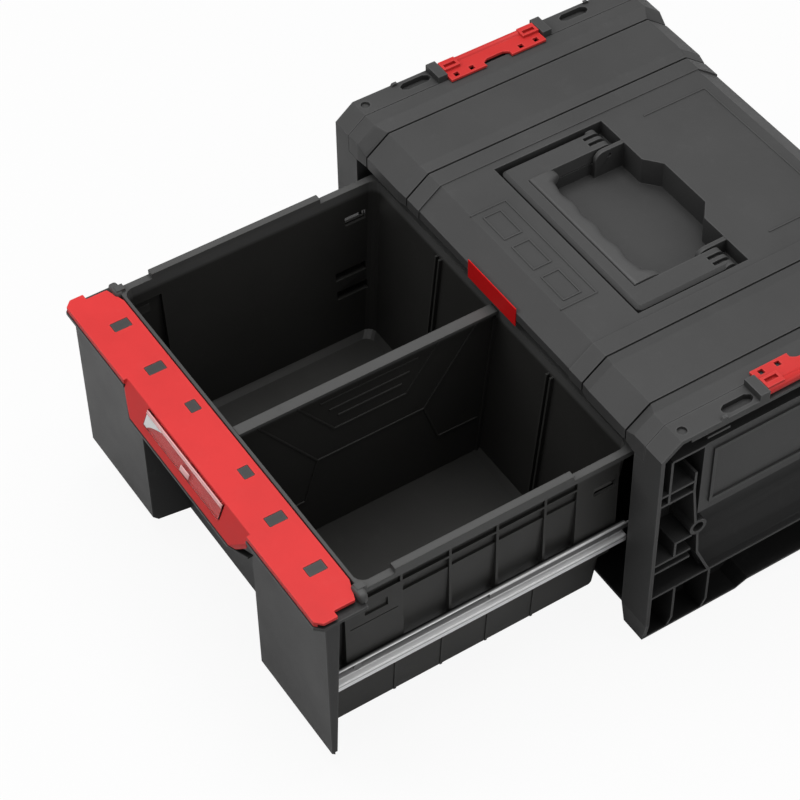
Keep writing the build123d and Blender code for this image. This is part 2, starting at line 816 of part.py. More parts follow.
# Rear panel with upright ribs outside
with BuildPart() as rear_panel:
    rear_inner_y = rear_y - frame_wall - rear_wall
    rear_bottom = base_top_z
    rear_top = lip_bottom_z - seam_gap
    slab((-base_half, base_half), (rear_inner_y, rear_inner_y + rear_wall), (rear_bottom, rear_top))
    for index in range(rear_rib_count):
        x = base_half * rear_rib_margin_share * (2 * index / (rear_rib_count - 1) - 1)
        rib_rear_y = rear_inner_y + rear_wall + rear_rib
        slab((x - rear_rib, x + rear_rib), (rear_inner_y, rib_rear_y), (rear_bottom, rear_top))
rear_panel.part.label = "rear_panel"
export_step(rear_panel.part, "parts/rear_panel.step")

# Tag under the front edge
with BuildPart() as front_tag:
    lip_face_y = front_y + ridge_inset + ridge_z - panel_z
    slab(
        (-tag_width / 2, tag_width / 2),
        (lip_face_y - tag_thickness, lip_face_y),
        (tag_bottom_z, tag_bottom_z + tag_height),
    )
front_tag.part.label = "front_tag"
export_step(front_tag.part, "parts/front_tag.step")

# Carry handle: a U with knuckled hinge barrels, and the softer grip inside its bar
with BuildPart() as handle_frame:
    u_outline = [
        (-handle_half, handle_front_y),
        (handle_half, handle_front_y),
        (handle_half, hinge_y),
        (arm_inner, hinge_y),
        (arm_inner, handle_front_y + handle_bar),
        (-arm_inner, handle_front_y + handle_bar),
        (-arm_inner, hinge_y),
        (-handle_half, hinge_y),
    ]
    prism(Plane.XY.offset(handle_bottom_z), u_outline, handle_thickness)
    upright = handle_frame.edges().filter_by(Axis.Z)
    fillet(near(upright, Axis.Y, handle_front_y), radius=handle_corner)
    top_edges = handle_frame.faces().sort_by(Axis.Z)[-1].edges()
    outer_x = handle_half - handle_corner
    outer_y = handle_front_y + handle_corner
    chamfer([e for e in top_edges if abs(e.center().X) > outer_x or e.center().Y < outer_y], length=handle_edge)
    ring = handle_arm / knuckle_count
    core_radius = handle_thickness / 2 - knuckle_groove_depth
    for side in (-1, 1):
        barrel = along_x(side * arm_inner, hinge_y, hinge_z, side)
        with BuildSketch(barrel):
            RegularPolygon(handle_thickness / 2, barrel_sides)
        extrude(amount=handle_arm)
        for index in range(1, knuckle_count):
            groove_x = side * (arm_inner + index * ring) - knuckle_groove / 2
            with BuildSketch(Plane(origin=(groove_x, hinge_y, hinge_z), x_dir=(0, 1, 0), z_dir=(1, 0, 0))):
                with Locations((0, core_radius)):
                    Rectangle(2 * knuckle_reach, handle_thickness, align=(Align.CENTER, Align.MIN))
                Rectangle(handle_thickness, 2 * handle_thickness, align=(Align.MIN, Align.CENTER))
                RegularPolygon(core_radius, barrel_sides, mode=Mode.SUBTRACT)
            extrude(amount=knuckle_groove, mode=Mode.SUBTRACT)
        rod(barrel, hinge_pin_radius + turn_clearance, handle_arm, Mode.SUBTRACT)
handle_frame.part.label = "handle_frame"
export_step(handle_frame.part, "parts/handle_frame.step")

with BuildPart() as handle_grip:
    grip_y = handle_front_y + handle_bar + grip_gap
    grip_half = arm_inner - grip_gap
    wave_half = grip_half - grip_end_width
    wave_step = 2 * wave_half / (2 * grip_waves)
    crests = [
        (-wave_half + index * wave_step, grip_y + grip_depth - grip_wave * (index % 2))
        for index in range(1, 2 * grip_waves)
    ]
    with BuildSketch(Plane.XY.offset(handle_bottom_z)):
        with BuildLine():
            Polyline(
                (wave_half, grip_y + grip_depth),
                (grip_half - grip_end_width / 2, grip_y + grip_end_depth),
                (grip_half, grip_y + grip_end_depth),
                (grip_half, grip_y),
                (-grip_half, grip_y),
                (-grip_half, grip_y + grip_end_depth),
                (-grip_half + grip_end_width / 2, grip_y + grip_end_depth),
                (-wave_half, grip_y + grip_depth),
            )
            Spline((-wave_half, grip_y + grip_depth), *crests, (wave_half, grip_y + grip_depth))
        make_face()
    extrude(amount=handle_thickness + grip_rise)
handle_grip.part.label = "handle_grip"
export_step(handle_grip.part, "parts/handle_grip.step")

with BuildPart() as handle_pins:
    for side in (-1, 1):
        pin = along_x(side * (pocket_half + hinge_pin_recess), hinge_y, hinge_z, side)
        rod(pin, hinge_pin_radius, well_half + cover_wall - pocket_half - hinge_pin_recess)
handle_pins.part.label = "handle_pins"
export_step(handle_pins.part, "parts/handle_pins.step")

# Telescopic slides: three nested channels on each side
pad_face = rim_half + mount_pad_wall / 2
rail_x = pad_face + rail_seat_gap
mid_x = rail_x + slide_wall + mid_rail_setback
case_web_x = opening_half - rail_seat_gap
case_reach_x = mid_x + slide_wall + slide_play
drawer_rail_y = panel_y + front_wall + rail_panel_gap
drawer_rail_length = case_depth - rail_end_space
mid_rail_y = front_y + case_rail_margin - drawer_travel / 2
mid_rail_length = mid_rail_share * case_depth
front_screw_y = front_pad[0] + screw_head_radius * 2
rear_screw_y = rear_pad[1] - screw_head_radius * 2

with BuildPart() as right_drawer_rail:
    roof_z = slide_top_z - slide_wall
    lip_x = rail_x + slide_floor_reach
    rail_outline = [
        (rail_x, slide_floor_z - slide_wall),
        (lip_x - slide_wall, slide_floor_z - slide_wall),
        (lip_x - slide_wall, slide_low_z),
        (lip_x, slide_low_z),
        (lip_x, slide_floor_z),
        (rail_x + slide_wall, slide_floor_z),
        (rail_x + slide_wall, roof_z),
        (rail_x + slide_top_reach, roof_z),
        (rail_x + slide_top_reach, slide_top_z),
        (rail_x, slide_top_z),
    ]
    prism(Plane.XZ.offset(-drawer_rail_y), rail_outline, -drawer_rail_length)
    for y in (front_screw_y, rear_screw_y):
        stud(along_x(rail_x, y, slide_z), screw_radius + screw_fit, slide_wall, Mode.SUBTRACT)
right_drawer_rail.part.label = "right_drawer_rail"
export_step(right_drawer_rail.part, "parts/right_drawer_rail.step")

with BuildPart() as left_drawer_rail:
    mirror(right_drawer_rail.part, about=Plane.YZ)
left_drawer_rail.part.label = "left_drawer_rail"
export_step(left_drawer_rail.part, "parts/left_drawer_rail.step")

with BuildPart() as right_mid_rail:
    mid_top_z = roof_z - slide_play
    slab(
        (mid_x, mid_x + slide_wall),
        (mid_rail_y, mid_rail_y + mid_rail_length),
        (mid_top_z - mid_rail_height, mid_top_z),
    )
right_mid_rail.part.label = "right_mid_rail"
export_step(right_mid_rail.part, "parts/right_mid_rail.step")

with BuildPart() as left_mid_rail:
    mirror(right_mid_rail.part, about=Plane.YZ)
left_mid_rail.part.label = "left_mid_rail"
export_step(left_mid_rail.part, "parts/left_mid_rail.step")

with BuildPart() as right_case_rail:
    case_low_z = slide_floor_z + slide_play
    case_outline = [
        (case_web_x, case_low_z),
        (case_web_x, mid_top_z),
        (case_reach_x, mid_top_z),
        (case_reach_x, mid_top_z - slide_wall),
        (case_web_x - slide_wall, mid_top_z - slide_wall),
        (case_web_x - slide_wall, case_low_z + slide_wall),
        (case_reach_x, case_low_z + slide_wall),
        (case_reach_x, case_low_z),
    ]
    prism(Plane.XZ.offset(-case_rail_front_y), case_outline, -case_rail_length)
    for share in case_screw_shares:
        hole = along_x(case_web_x, case_rail_y + share * case_rail_length, slide_z, -1)
        stud(hole, screw_radius + screw_fit, slide_wall, Mode.SUBTRACT)
right_case_rail.part.label = "right_case_rail"
export_step(right_case_rail.part, "parts/right_case_rail.step")

with BuildPart() as left_case_rail:
    mirror(right_case_rail.part, about=Plane.YZ)
left_case_rail.part.label = "left_case_rail"
export_step(left_case_rail.part, "parts/left_case_rail.step")

# Screws of the slides and of the side frames
with BuildPart() as case_rail_screws:
    for side in (-1, 1):
        for share in case_screw_shares:
            y = case_rail_y + share * case_rail_length
            head = along_x(side * (case_web_x - slide_wall - screw_head), y, slide_z, side)
            stud(head, screw_head_radius, screw_head)
            stud(head, screw_radius, screw_head + slide_wall + rail_seat_gap + screw_reach)
case_rail_screws.part.label = "case_rail_screws"
export_step(case_rail_screws.part, "parts/case_rail_screws.step")

with BuildPart() as drawer_rail_screws:
    for side in (-1, 1):
        for y in (front_screw_y, rear_screw_y):
            head = along_x(side * (rail_x + slide_wall + screw_head), y, slide_z, -side)
            stud(head, screw_head_radius, screw_head)
            stud(head, screw_radius, screw_head + slide_wall + rail_seat_gap + mount_pad_wall)
drawer_rail_screws.part.label = "drawer_rail_screws"
export_step(drawer_rail_screws.part, "parts/drawer_rail_screws.step")

with BuildPart() as frame_screws:
    for side in (-1, 1):
        for y in (-base_boss_spread, base_boss_spread):
            head = along_x(side * (plate_face + screw_head), y, base_bottom_z, -side)
            stud(head, screw_head_radius, screw_head)
            stud(head, screw_radius, screw_head + frame_plate + seam_gap + base_boss_length)
frame_screws.part.label = "frame_screws"
export_step(frame_screws.part, "parts/frame_screws.step")

# Drawer tub
def tub_section(z, width, length, middle_y, corner):
    """A level outline of the tub whose corners are turned by three facets."""
    with BuildSketch(Plane.XY.offset(z)) as section:
        with Locations((0, middle_y)):
            Rectangle(width, length)
        chamfer(section.vertices(), length=facet_share * corner)
        chamfer(section.vertices(), length=(1 - facet_share) * corner)
    return section.sketch


def tub_level(z, inset):
    """The tub's outline at a height on its leaning walls, drawn in by an inset."""
    share = (z - tub_base_z) / tub_height
    width = 2 * (base_side + share * tub_side_lean)
    length = tub_base_length + share * (tub_length - tub_base_length)
    middle_y = tub_base_middle_y + share * (tub_middle_y - tub_base_middle_y)
    return tub_section(z, width - 2 * inset, length - 2 * inset, middle_y, tub_corner)


def wall_x(z):
    """Where the outer face of a leaning side wall stands at a height."""
    return base_side + (z - tub_base_z) / tub_height * tub_side_lean


def inner_front_y(z):
    """Where the inner face of the leaning front wall stands at a height."""
    return tub_base_front_y + tub_wall - (z - tub_base_z) / tub_height * tub_front_lean


def web(side, y_span, z_span):
    """A block from inside the leaning wall out to the plane of the slide's seats."""
    low, top = z_span
    outline = [
        (side * (wall_x(low) - tub_wall / 2), low),
        (side * pad_face, low),
        (side * pad_face, top),
        (side * (wall_x(top) - tub_wall / 2), top),
    ]
    prism(Plane.XZ.offset(-y_span[1]), outline, y_span[1] - y_span[0])


with BuildPart() as tub_hollow:
    bevel_top_z = tub_floor_z + floor_bevel_rise
    loft([tub_level(tub_floor_z, tub_wall + floor_bevel), tub_level(bevel_top_z, tub_wall)], ruled=True)
    loft([tub_level(bevel_top_z, tub_wall), tub_level(tub_rim_z, tub_wall)], ruled=True)

with BuildPart() as drawer_tub:
    loft([tub_level(tub_base_z, 0), tub_level(tub_rim_z, 0)], ruled=True)
    rim_rear_y = tub_rear_y + rim_overhang
    slab((-rim_outer, rim_outer), (tub_front_y, rim_rear_y), (tub_rim_z - rim_thickness, tub_rim_z))
    raised_span = [tub_front_y + share * tub_length for share in raise_shares]
    belt_z = tub_rim_z - side_belt_drop
    panel_top_z = tub_rim_z - side_panel_drop
    rib_top_z = tub_rim_z - rim_thickness / 2
    low_wall = wall_x(slide_low_z)
    panel_wall = wall_x(panel_top_z)
    for side in (-1, 1):
        skirt = sorted((side * (rim_outer - rim_skirt_wall), side * rim_outer))
        slab(skirt, (tub_front_y, rim_rear_y), (tub_rim_z - rim_skirt, tub_rim_z))
        raised = sorted((side * (rim_half - tub_wall), side * rim_outer))
        slab(raised, raised_span, (tub_rim_z - rim_thickness, tub_rim_z + rim_raise))
        # Ribs stand out above the slide and are only low lines below it
        rib_outline = [
            (side * (base_side - tub_wall), tub_base_z),
            (side * (base_side + low_rib), tub_base_z),
            (side * (low_wall + low_rib), slide_low_z),
            (side * pad_face, slide_low_z + slide_wall),
            (side * pad_face, rib_top_z),
            (side * (rim_half - tub_wall / 2), rib_top_z),
        ]
        for y in side_rib_places:
            prism(Plane.XZ.offset(-y), rib_outline, side_rib)
        # Panels between the ribs, set out from the wall below a deep strip
        panel_outline = [
            (side * (low_wall - tub_wall / 2), slide_low_z),
            (side * (low_wall + side_panel), slide_low_z),
            (side * (panel_wall + side_panel), panel_top_z),
            (side * (panel_wall - tub_wall / 2), panel_top_z),
        ]
        prism(Plane.XZ.offset(-rear_pad[0]), panel_outline, rear_pad[0] - side_rib_places[0])
        web(side, (front_pad[0], rear_pad[1]), (belt_z, belt_z + side_belt))
        pad = sorted((side * (pad_face - mount_pad_wall), side * pad_face))
        pad_bottom_z = slide_low_z + slide_wall
        for pad_span, pad_top in ((front_pad, belt_z + side_belt), (rear_pad, rib_top_z)):
            slab(pad, pad_span, (pad_bottom_z, pad_top))
            for web_y in (pad_span[0], pad_span[1] - side_rib):
                web(side, (web_y, web_y + side_rib), (pad_bottom_z, pad_top))
        web(side, front_pad, (pad_bottom_z, pad_bottom_z + mount_pad_wall))
        # Cheek that carries the leaning side forward to the front
        cheek_top = wall_x(front_pad_top_z)
        cheek = [
            (side * base_side, tub_base_z),
            (side * cheek_top, front_pad_top_z),
            (side * (cheek_top - tub_wall), front_pad_top_z),
            (side * (base_side - tub_wall), tub_base_z),
        ]
        cheek_y = panel_y + front_wall + seam_gap
        prism(Plane.XZ.offset(-cheek_y), cheek, cheek_y - tub_base_front_y - tub_corner)
        # Hook at the front corner of the rim, over the back edge of the front's deck
        hook = sorted((side * (rim_half - tub_wall), side * rim_outer))
        hook_span = (tub_front_y - hook_lead, tub_front_y + hook_length)
        slab(hook, hook_span, (deck_top_z + seam_gap, tub_rim_z + hook_rise))
        # Thick part of the wall behind the rear seat of the slide
        thick_y = tub_rear_y - pocket_from_rim
        thick = (thick_y - side_rib, thick_y + pocket_length + side_rib)
        thick_top_z = tub_base_z + pocket_rises[1] + pocket_height + side_rib
        web(side, thick, (tub_base_z + pocket_rises[0] - side_rib, thick_top_z))
    add(tub_hollow.part, mode=Mode.SUBTRACT)
    for side in (-1, 1):
        for y in (front_screw_y, rear_screw_y):
            hole = along_x(side * (pad_face - mount_pad_wall - seam_gap), y, slide_z, side)
            stud(hole, screw_radius + screw_fit, overrun, Mode.SUBTRACT)
        # Hollow behind the front seat of the slide, along the leaning front wall
        seat_low_z = pad_bottom_z + mount_pad_wall
        seat_back_y = front_pad[1] - side_rib
        seat_outline = [
            (inner_front_y(seat_low_z) + tub_corner, seat_low_z),
            (seat_back_y, seat_low_z),
            (seat_back_y, belt_z),
            (inner_front_y(belt_z) + tub_corner, belt_z),
        ]
        seat_x = sorted((side * (wall_x(seat_low_z) - 2 * tub_wall), side * (pad_face - mount_pad_wall)))
        prism(Plane.YZ.offset(seat_x[0]), seat_outline, seat_x[1] - seat_x[0], mode=Mode.SUBTRACT)
        pocket_depth_x = sorted((side * (rim_half - tub_height / 2), side * (pad_face - pocket_back)))
        for rise in pocket_rises:
            pocket_z = (tub_base_z + rise, tub_base_z + rise + pocket_height)
            slab(pocket_depth_x, (thick_y, thick_y + pocket_length), pocket_z, Mode.SUBTRACT)
        slot_z = tub_rim_z - pad_slot_drop
        outside = sorted((side * (pad_face - mount_pad_wall), side * (pad_face + overrun)))
        through = sorted((side * (rim_half - tub_height / 2), side * (pad_face + overrun)))
        front_slot_y = tub_front_y + front_slot_lead
        rear_slot_y = tub_rear_y - rear_slot_from_rim
        for depth, slot_y in ((outside, front_slot_y), (through, rear_slot_y)):
            slab(depth, (slot_y, slot_y + pad_slot_length), (slot_z, slot_z + pocket_height), Mode.SUBTRACT)
        line = sorted((side * (pad_face - pad_line), side * (pad_face + overrun)))
        line_z = tub_rim_z - pad_line_drop
        line_span = (front_pad[0] + 2 * side_rib, front_pad[1] - 2 * side_rib)
        slab(line, line_span, (line_z, line_z + pad_line), Mode.SUBTRACT)
    # Guides for the divider on the front and rear walls
    wall_ends = [
        (tub_base_front_y + tub_wall, tub_front_y + tub_wall, 1),
        (tub_base_rear_y - tub_wall, tub_rear_y - tub_wall, -1),
    ]
    slot = divider_thickness + 2 * divider_gap
    guide_share = (guide_top_z - tub_floor_z) / (tub_rim_z - tub_floor_z)
    for x in (-guide_spread, 0, guide_spread):
        for low_y, rim_y, inward in wall_ends:
            top_y = low_y + guide_share * (rim_y - low_y)
            guide_outline = [
                (low_y - inward * tub_wall / 2, tub_floor_z - tub_floor / 2),
                (low_y + inward * guide_depth, tub_floor_z - tub_floor / 2),
                (top_y + inward * guide_depth, guide_top_z),
                (top_y - inward * tub_wall / 2, guide_top_z),
            ]
            for guide_x in (x - slot / 2 - guide_rib, x + slot / 2):
                prism(Plane.YZ.offset(guide_x), guide_outline, guide_rib)
drawer_tub.part.label = "drawer_tub"
export_step(drawer_tub.part, "parts/drawer_tub.step")

# Divider with a flat top and chevron ribs
with BuildPart() as drawer_divider:
    divider_low_z = tub_floor_z + seam_gap
    divider_edge_z = divider_top_z - divider_flange
    lean_share = (divider_edge_z - tub_floor_z) / (tub_rim_z - tub_floor_z)
    front_low = tub_base_front_y + tub_wall + divider_gap
    rear_low = tub_base_rear_y - tub_wall - divider_gap
    front_top = front_low - lean_share * tub_front_lean
    rear_top_y = rear_low + lean_share * tub_rear_lean
    divider_outline = [
        (front_low, divider_low_z + floor_bevel_rise),
        (front_low + floor_bevel, divider_low_z),
        (rear_low - floor_bevel, divider_low_z),
        (rear_low, divider_low_z + floor_bevel_rise),
        (rear_top_y, divider_edge_z),
        (front_top, divider_edge_z),
    ]
    prism(Plane.YZ, divider_outline, divider_thickness / 2, both=True)
    flange_half = divider_flange_width / 2
    slab((-flange_half, flange_half), (front_top, rear_top_y), (divider_edge_z, divider_top_z))
    line_half = tub_length / 2
    line_height = divider_edge_z - divider_low_z
    with BuildSketch(Plane.YZ):
        for shares in divider_line_shares:
            half = [(along * line_half, divider_low_z + up * line_height) for along, up in shares]
            line = [(tub_middle_y - y, z) for y, z in reversed(half)] + [(tub_middle_y + y, z) for y, z in half]
            with BuildLine():
                Polyline(*line)
            trace(line_width=chevron_rib)
        for end in (-1, 1):
            tail = [
                (tub_middle_y + end * along * line_half, divider_low_z + up * line_height)
                for along, up in divider_tail_shares
            ]
            with BuildLine():
                Polyline(*tail)
            trace(line_width=chevron_rib)
    extrude(amount=divider_thickness / 2 + chevron_height, both=True)
drawer_divider.part.label = "drawer_divider"
export_step(drawer_divider.part, "parts/drawer_divider.step")

# Drawer front
front_half = opening_half - front_gap
recess_mouth = finger_recess_width / 2
recess_back = recess_mouth - finger_recess_draft
deck_back_y = panel_y + pod_depth
strip_front_y = panel_y - strip_lip_reach
deck_front_y = strip_front_y - deck_edge
deck_half_width = front_half + strip_side + deck_edge
slope_low_z = strip_top_z - grip_slope_drop
ridge_y = strip_front_y + grip_ridge_setback
grip_low_y = ridge_y - grip_slope_run


def slope_y(z):
    """Where the outer face of the sloped grip stands at a height."""
    return ridge_y - (strip_top_z - z) / grip_slope_drop * grip_slope_run


def sloped_plate(shift, low_z, top_z, tongue):
    """A slanted plate with a level tongue at its top; its ends are bevelled back in plan."""
    section = [
        (slope_y(low_z) + shift, low_z),
        (slope_y(low_z) + shift + grip_wall, low_z),
        (slope_y(top_z - grip_wall) + shift + grip_wall, top_z - grip_wall),
        (slope_y(top_z) + shift + tongue, top_z - grip_wall),
        (slope_y(top_z) + shift + tongue, top_z),
        (slope_y(top_z) + shift, top_z),
    ]
    plan = [
        (-grip_base_width / 2, ridge_y + 2 * tongue),
        (-grip_base_width / 2, strip_front_y + shift),
        (-grip_face_width / 2, grip_low_y + shift),
        (grip_face_width / 2, grip_low_y + shift),
        (grip_base_width / 2, strip_front_y + shift),
        (grip_base_width / 2, ridge_y + 2 * tongue),
    ]
    with BuildPart(mode=Mode.PRIVATE) as plate:
        prism(Plane.YZ, section, grip_base_width / 2, both=True)
        prism(Plane.XY.offset(low_z - overrun), plan, grip_slope_drop + 2 * overrun, mode=Mode.INTERSECT)
    return plate.part


def trim_corners(half_width, y, z_span):
    """Cuts both front corners of the deck or of the strip at an angle."""
    for side in (-1, 1):
        corner = [
            (side * (half_width - strip_corner - overrun), y - overrun),
            (side * (half_width + overrun), y - overrun),
            (side * (half_width + overrun), y + strip_corner + overrun),
        ]
        prism(Plane.XY.offset(z_span[0]), corner, z_span[1] - z_span[0], mode=Mode.SUBTRACT)


def peg_places(grow, start_z, height, mode=Mode.ADD):
    """The six pegs of the front that stand in the windows of the strip."""
    with BuildSketch(Plane.XY.offset(start_z)) as windows:
        for side in (-1, 1):
            for spread in outer_peg_spreads:
                with Locations((side * spread, panel_y + outer_peg_from_panel)):
                    Rectangle(outer_peg_width + 2 * grow, outer_peg_length + 2 * grow)
            with Locations((side * inner_peg_spread, panel_y + inner_peg_from_panel)):
                Rectangle(inner_peg_width + 2 * grow, inner_peg_length + 2 * grow)
    extrude(windows.sketch, amount=height, mode=mode)


backing = sloped_plate(grip_wall + seam_gap, slope_low_z - grip_backing_drop, deck_top_z, grip_tongue)

foot_back_y = grip_low_y + 2 * grip_wall + seam_gap
foot_side = [
    (grip_base_width / 2, strip_front_y + 2 * grip_wall),
    (grip_base_width / 2, strip_front_y),
    (grip_face_width / 2, grip_low_y - deck_edge),
]
foot_plan = foot_side + [(-x, y) for x, y in reversed(foot_side)]
foot_plan += [(-grip_face_width / 2, foot_back_y), (grip_face_width / 2, foot_back_y)]

with BuildPart() as drawer_front:
    hat = [
        (-front_half, panel_y),
        (-recess_mouth, panel_y),
        (-recess_back, deck_back_y - front_wall),
        (recess_back, deck_back_y - front_wall),
        (recess_mouth, panel_y),
        (front_half, panel_y),
        (front_half, panel_y + front_wall),
        (recess_mouth + front_wall, panel_y + front_wall),
        (recess_back + front_wall, deck_back_y),
        (-recess_back - front_wall, deck_back_y),
        (-recess_mouth - front_wall, panel_y + front_wall),
        (-front_half, panel_y + front_wall),
    ]
    prism(Plane.XY.offset(front_bottom_z), hat, deck_top_z - front_bottom_z)
    pod_floor = [(recess_mouth, panel_y), (front_half, panel_y), (front_half, panel_y + front_wall)]
    pod_floor += [(recess_back + front_wall, deck_back_y), (recess_back, deck_back_y)]
    for side in (-1, 1):
        outline = [(side * x, y) for x, y in pod_floor]
        prism(Plane.XY.offset(front_bottom_z), outline, front_wall)
    bottom = drawer_front.faces().sort_by(Axis.Z)[0:2].edges()
    chamfer(near(bottom.filter_by(Axis.X), Axis.Y, panel_y), length=front_edge)
    for side in (-1, 1):
        ends = sorted((side * (front_half - front_wall), side * front_half))
        return_low_z = front_bottom_z + front_edge
        return_top_z = deck_top_z - deck_thickness / 2
        return_outline = [
            (panel_y, return_low_z),
            (panel_y + front_return_foot, return_low_z),
            (panel_y + front_return, return_top_z),
            (panel_y, return_top_z),
        ]
        prism(Plane.YZ.offset(ends[0]), return_outline, front_wall)
    deck_span = (-deck_half_width, deck_half_width)
    slab(deck_span, (deck_front_y, deck_back_y), (deck_top_z - deck_thickness, deck_top_z))
    trim_corners(deck_half_width, deck_front_y, (deck_top_z - deck_thickness, deck_top_z))
    deck_mouth_y = slope_y(deck_top_z) + grip_wall + seam_gap
    slab((-grip_base_width / 2, grip_base_width / 2), (deck_front_y - overrun, deck_mouth_y),
         (deck_top_z - deck_thickness, deck_top_z), Mode.SUBTRACT)
    add(backing)
    prism(Plane.XY.offset(slope_low_z - seam_gap - foot_thickness), foot_plan, foot_thickness)
    peg_places(0, deck_top_z - deck_thickness / 2, strip_top_z - peg_sink - deck_top_z + deck_thickness / 2)
    for x in (-front_screw_spread, front_screw_spread):
        for level in front_screw_levels:
            hole = along_y(x, panel_y, level)
            stud(hole, screw_radius + screw_fit, 2 * pod_depth, Mode.SUBTRACT)
drawer_front.part.label = "drawer_front"
export_step(drawer_front.part, "parts/drawer_front.step")

# Red pull strip
strip_back_y = deck_back_y - strip_back_setback
strip_depth = strip_back_y - strip_front_y
strip_half = front_half + strip_side
grip_skin = sloped_plate(0, slope_low_z, strip_top_z, grip_tongue)
face_normal = Vector(0, -grip_slope_drop, grip_slope_run).normalized()
down_slope = Vector(0, -grip_slope_run, -grip_slope_drop).normalized()
face_middle = Vector(0, ridge_y, strip_top_z) + down_slope * (window_from_ridge + window_height / 2)
window_plane = Plane(origin=face_middle, x_dir=(1, 0, 0), z_dir=face_normal)
with BuildPart() as pull_strip:
    half_plan = [
        (strip_half, strip_front_y),
        (strip_half, strip_front_y + strip_end_front_share * strip_depth),
        (strip_half - strip_end_step, strip_front_y + strip_end_front_share * strip_depth),
        (strip_half - strip_end_step, strip_front_y + strip_end_back_share * strip_depth),
        (strip_half - strip_back_corner, strip_back_y),
    ]
    plan = half_plan + [(-x, y) for x, y in reversed(half_plan)]
    prism(Plane.XY.offset(strip_top_z - strip_plate), plan, strip_plate)
    slab((-strip_half, strip_half), (strip_front_y, strip_front_y + strip_lip),
         (deck_top_z + seam_gap, strip_top_z))
    trim_corners(strip_half, strip_front_y, (deck_top_z, strip_top_z))
    grip_span = (-grip_base_width / 2, grip_base_width / 2)
    lip_rear_y = strip_front_y + 2 * strip_lip
    slab(grip_span, (strip_front_y - strip_lip, ridge_y), (slope_low_z, strip_top_z + overrun), Mode.SUBTRACT)
    slab(grip_span, (ridge_y, lip_rear_y), (slope_low_z, strip_top_z - strip_plate), Mode.SUBTRACT)
    add(grip_skin)
    peg_places(peg_gap, strip_top_z - overrun / 2, overrun, Mode.SUBTRACT)
    with BuildSketch(window_plane):
        Rectangle(window_width + 2 * window_gap, window_height + 2 * window_gap)
    extrude(amount=-window_sink, mode=Mode.SUBTRACT)
pull_strip.part.label = "pull_strip"
export_step(pull_strip.part, "parts/pull_strip.step")

with BuildPart() as label_window:
    with BuildSketch(window_plane.offset(window_gap - window_sink)):
        Rectangle(window_width, window_height)
    extrude(amount=window_thickness)
label_window.part.label = "label_window"
export_step(label_window.part, "parts/label_window.step")

# Screws that hold the front to the tub
with BuildPart() as front_screws:
    for x in (-front_screw_spread, front_screw_spread):
        for level in front_screw_levels:
            head = along_y(x, deck_back_y - front_wall - screw_head, level)
            stud(head, screw_head_radius, screw_head)
            stud(head, screw_radius, screw_head + front_wall)
front_screws.part.label = "front_screws"
export_step(front_screws.part, "parts/front_screws.step")
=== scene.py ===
import json
import math
import bpy
import numpy as np
from mathutils import Matrix, Vector


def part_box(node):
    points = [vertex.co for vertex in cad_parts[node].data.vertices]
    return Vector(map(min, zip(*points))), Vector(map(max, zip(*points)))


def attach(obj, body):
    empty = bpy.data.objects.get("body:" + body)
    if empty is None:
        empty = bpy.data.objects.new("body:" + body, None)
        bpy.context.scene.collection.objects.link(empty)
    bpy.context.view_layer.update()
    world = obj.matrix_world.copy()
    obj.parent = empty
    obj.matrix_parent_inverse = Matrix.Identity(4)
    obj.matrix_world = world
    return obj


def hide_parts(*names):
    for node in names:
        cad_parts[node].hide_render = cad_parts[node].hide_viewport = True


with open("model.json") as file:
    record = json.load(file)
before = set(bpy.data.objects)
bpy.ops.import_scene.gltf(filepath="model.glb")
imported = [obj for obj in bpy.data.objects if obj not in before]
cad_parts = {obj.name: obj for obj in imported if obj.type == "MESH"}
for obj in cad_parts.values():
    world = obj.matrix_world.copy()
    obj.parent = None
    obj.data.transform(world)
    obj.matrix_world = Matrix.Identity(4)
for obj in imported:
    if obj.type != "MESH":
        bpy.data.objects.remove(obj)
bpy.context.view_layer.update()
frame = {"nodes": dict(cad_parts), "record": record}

scene = bpy.context.scene
scene.view_settings.view_transform = "Standard"
nodes = frame["nodes"]
mm = 0.001


# Shader helpers

def newTree(name):
    # an empty material with its Principled shader and output
    mat = bpy.data.materials.new(name)
    mat.use_nodes = True
    tree = mat.node_tree
    tree.nodes.clear()
    out = tree.nodes.new("ShaderNodeOutputMaterial")
    bsdf = tree.nodes.new("ShaderNodeBsdfPrincipled")
    tree.links.new(bsdf.outputs["BSDF"], out.inputs["Surface"])
    return mat, tree, bsdf


def put(tree, kind, **values):
    # a node with its properties and the values of its sockets
    node = tree.nodes.new(kind)
    for key, value in values.items():
        if hasattr(node, key):
            setattr(node, key, value)
        else:
            node.inputs[key.replace("_", " ")].default_value = value
    return node


def newGroup(name, inputs, outputs):
    # a node group with its named sockets: (name, kind, default)
    group = bpy.data.node_groups.new(name, "ShaderNodeTree")
    for label, kind, default in inputs:
        socket = group.interface.new_socket(label, in_out="INPUT", socket_type=kind)
        socket.default_value = default
    for label, kind in outputs:
        group.interface.new_socket(label, in_out="OUTPUT", socket_type=kind)
    start = group.nodes.new("NodeGroupInput")
    end = group.nodes.new("NodeGroupOutput")
    return group, start, end


# occlusion reach for the paler edges (wear and painted highlight) and for the painted hollow shade
mouldedReach = {"rays": 2, "edge": 1.5 * mm, "hollow": 60 * mm}


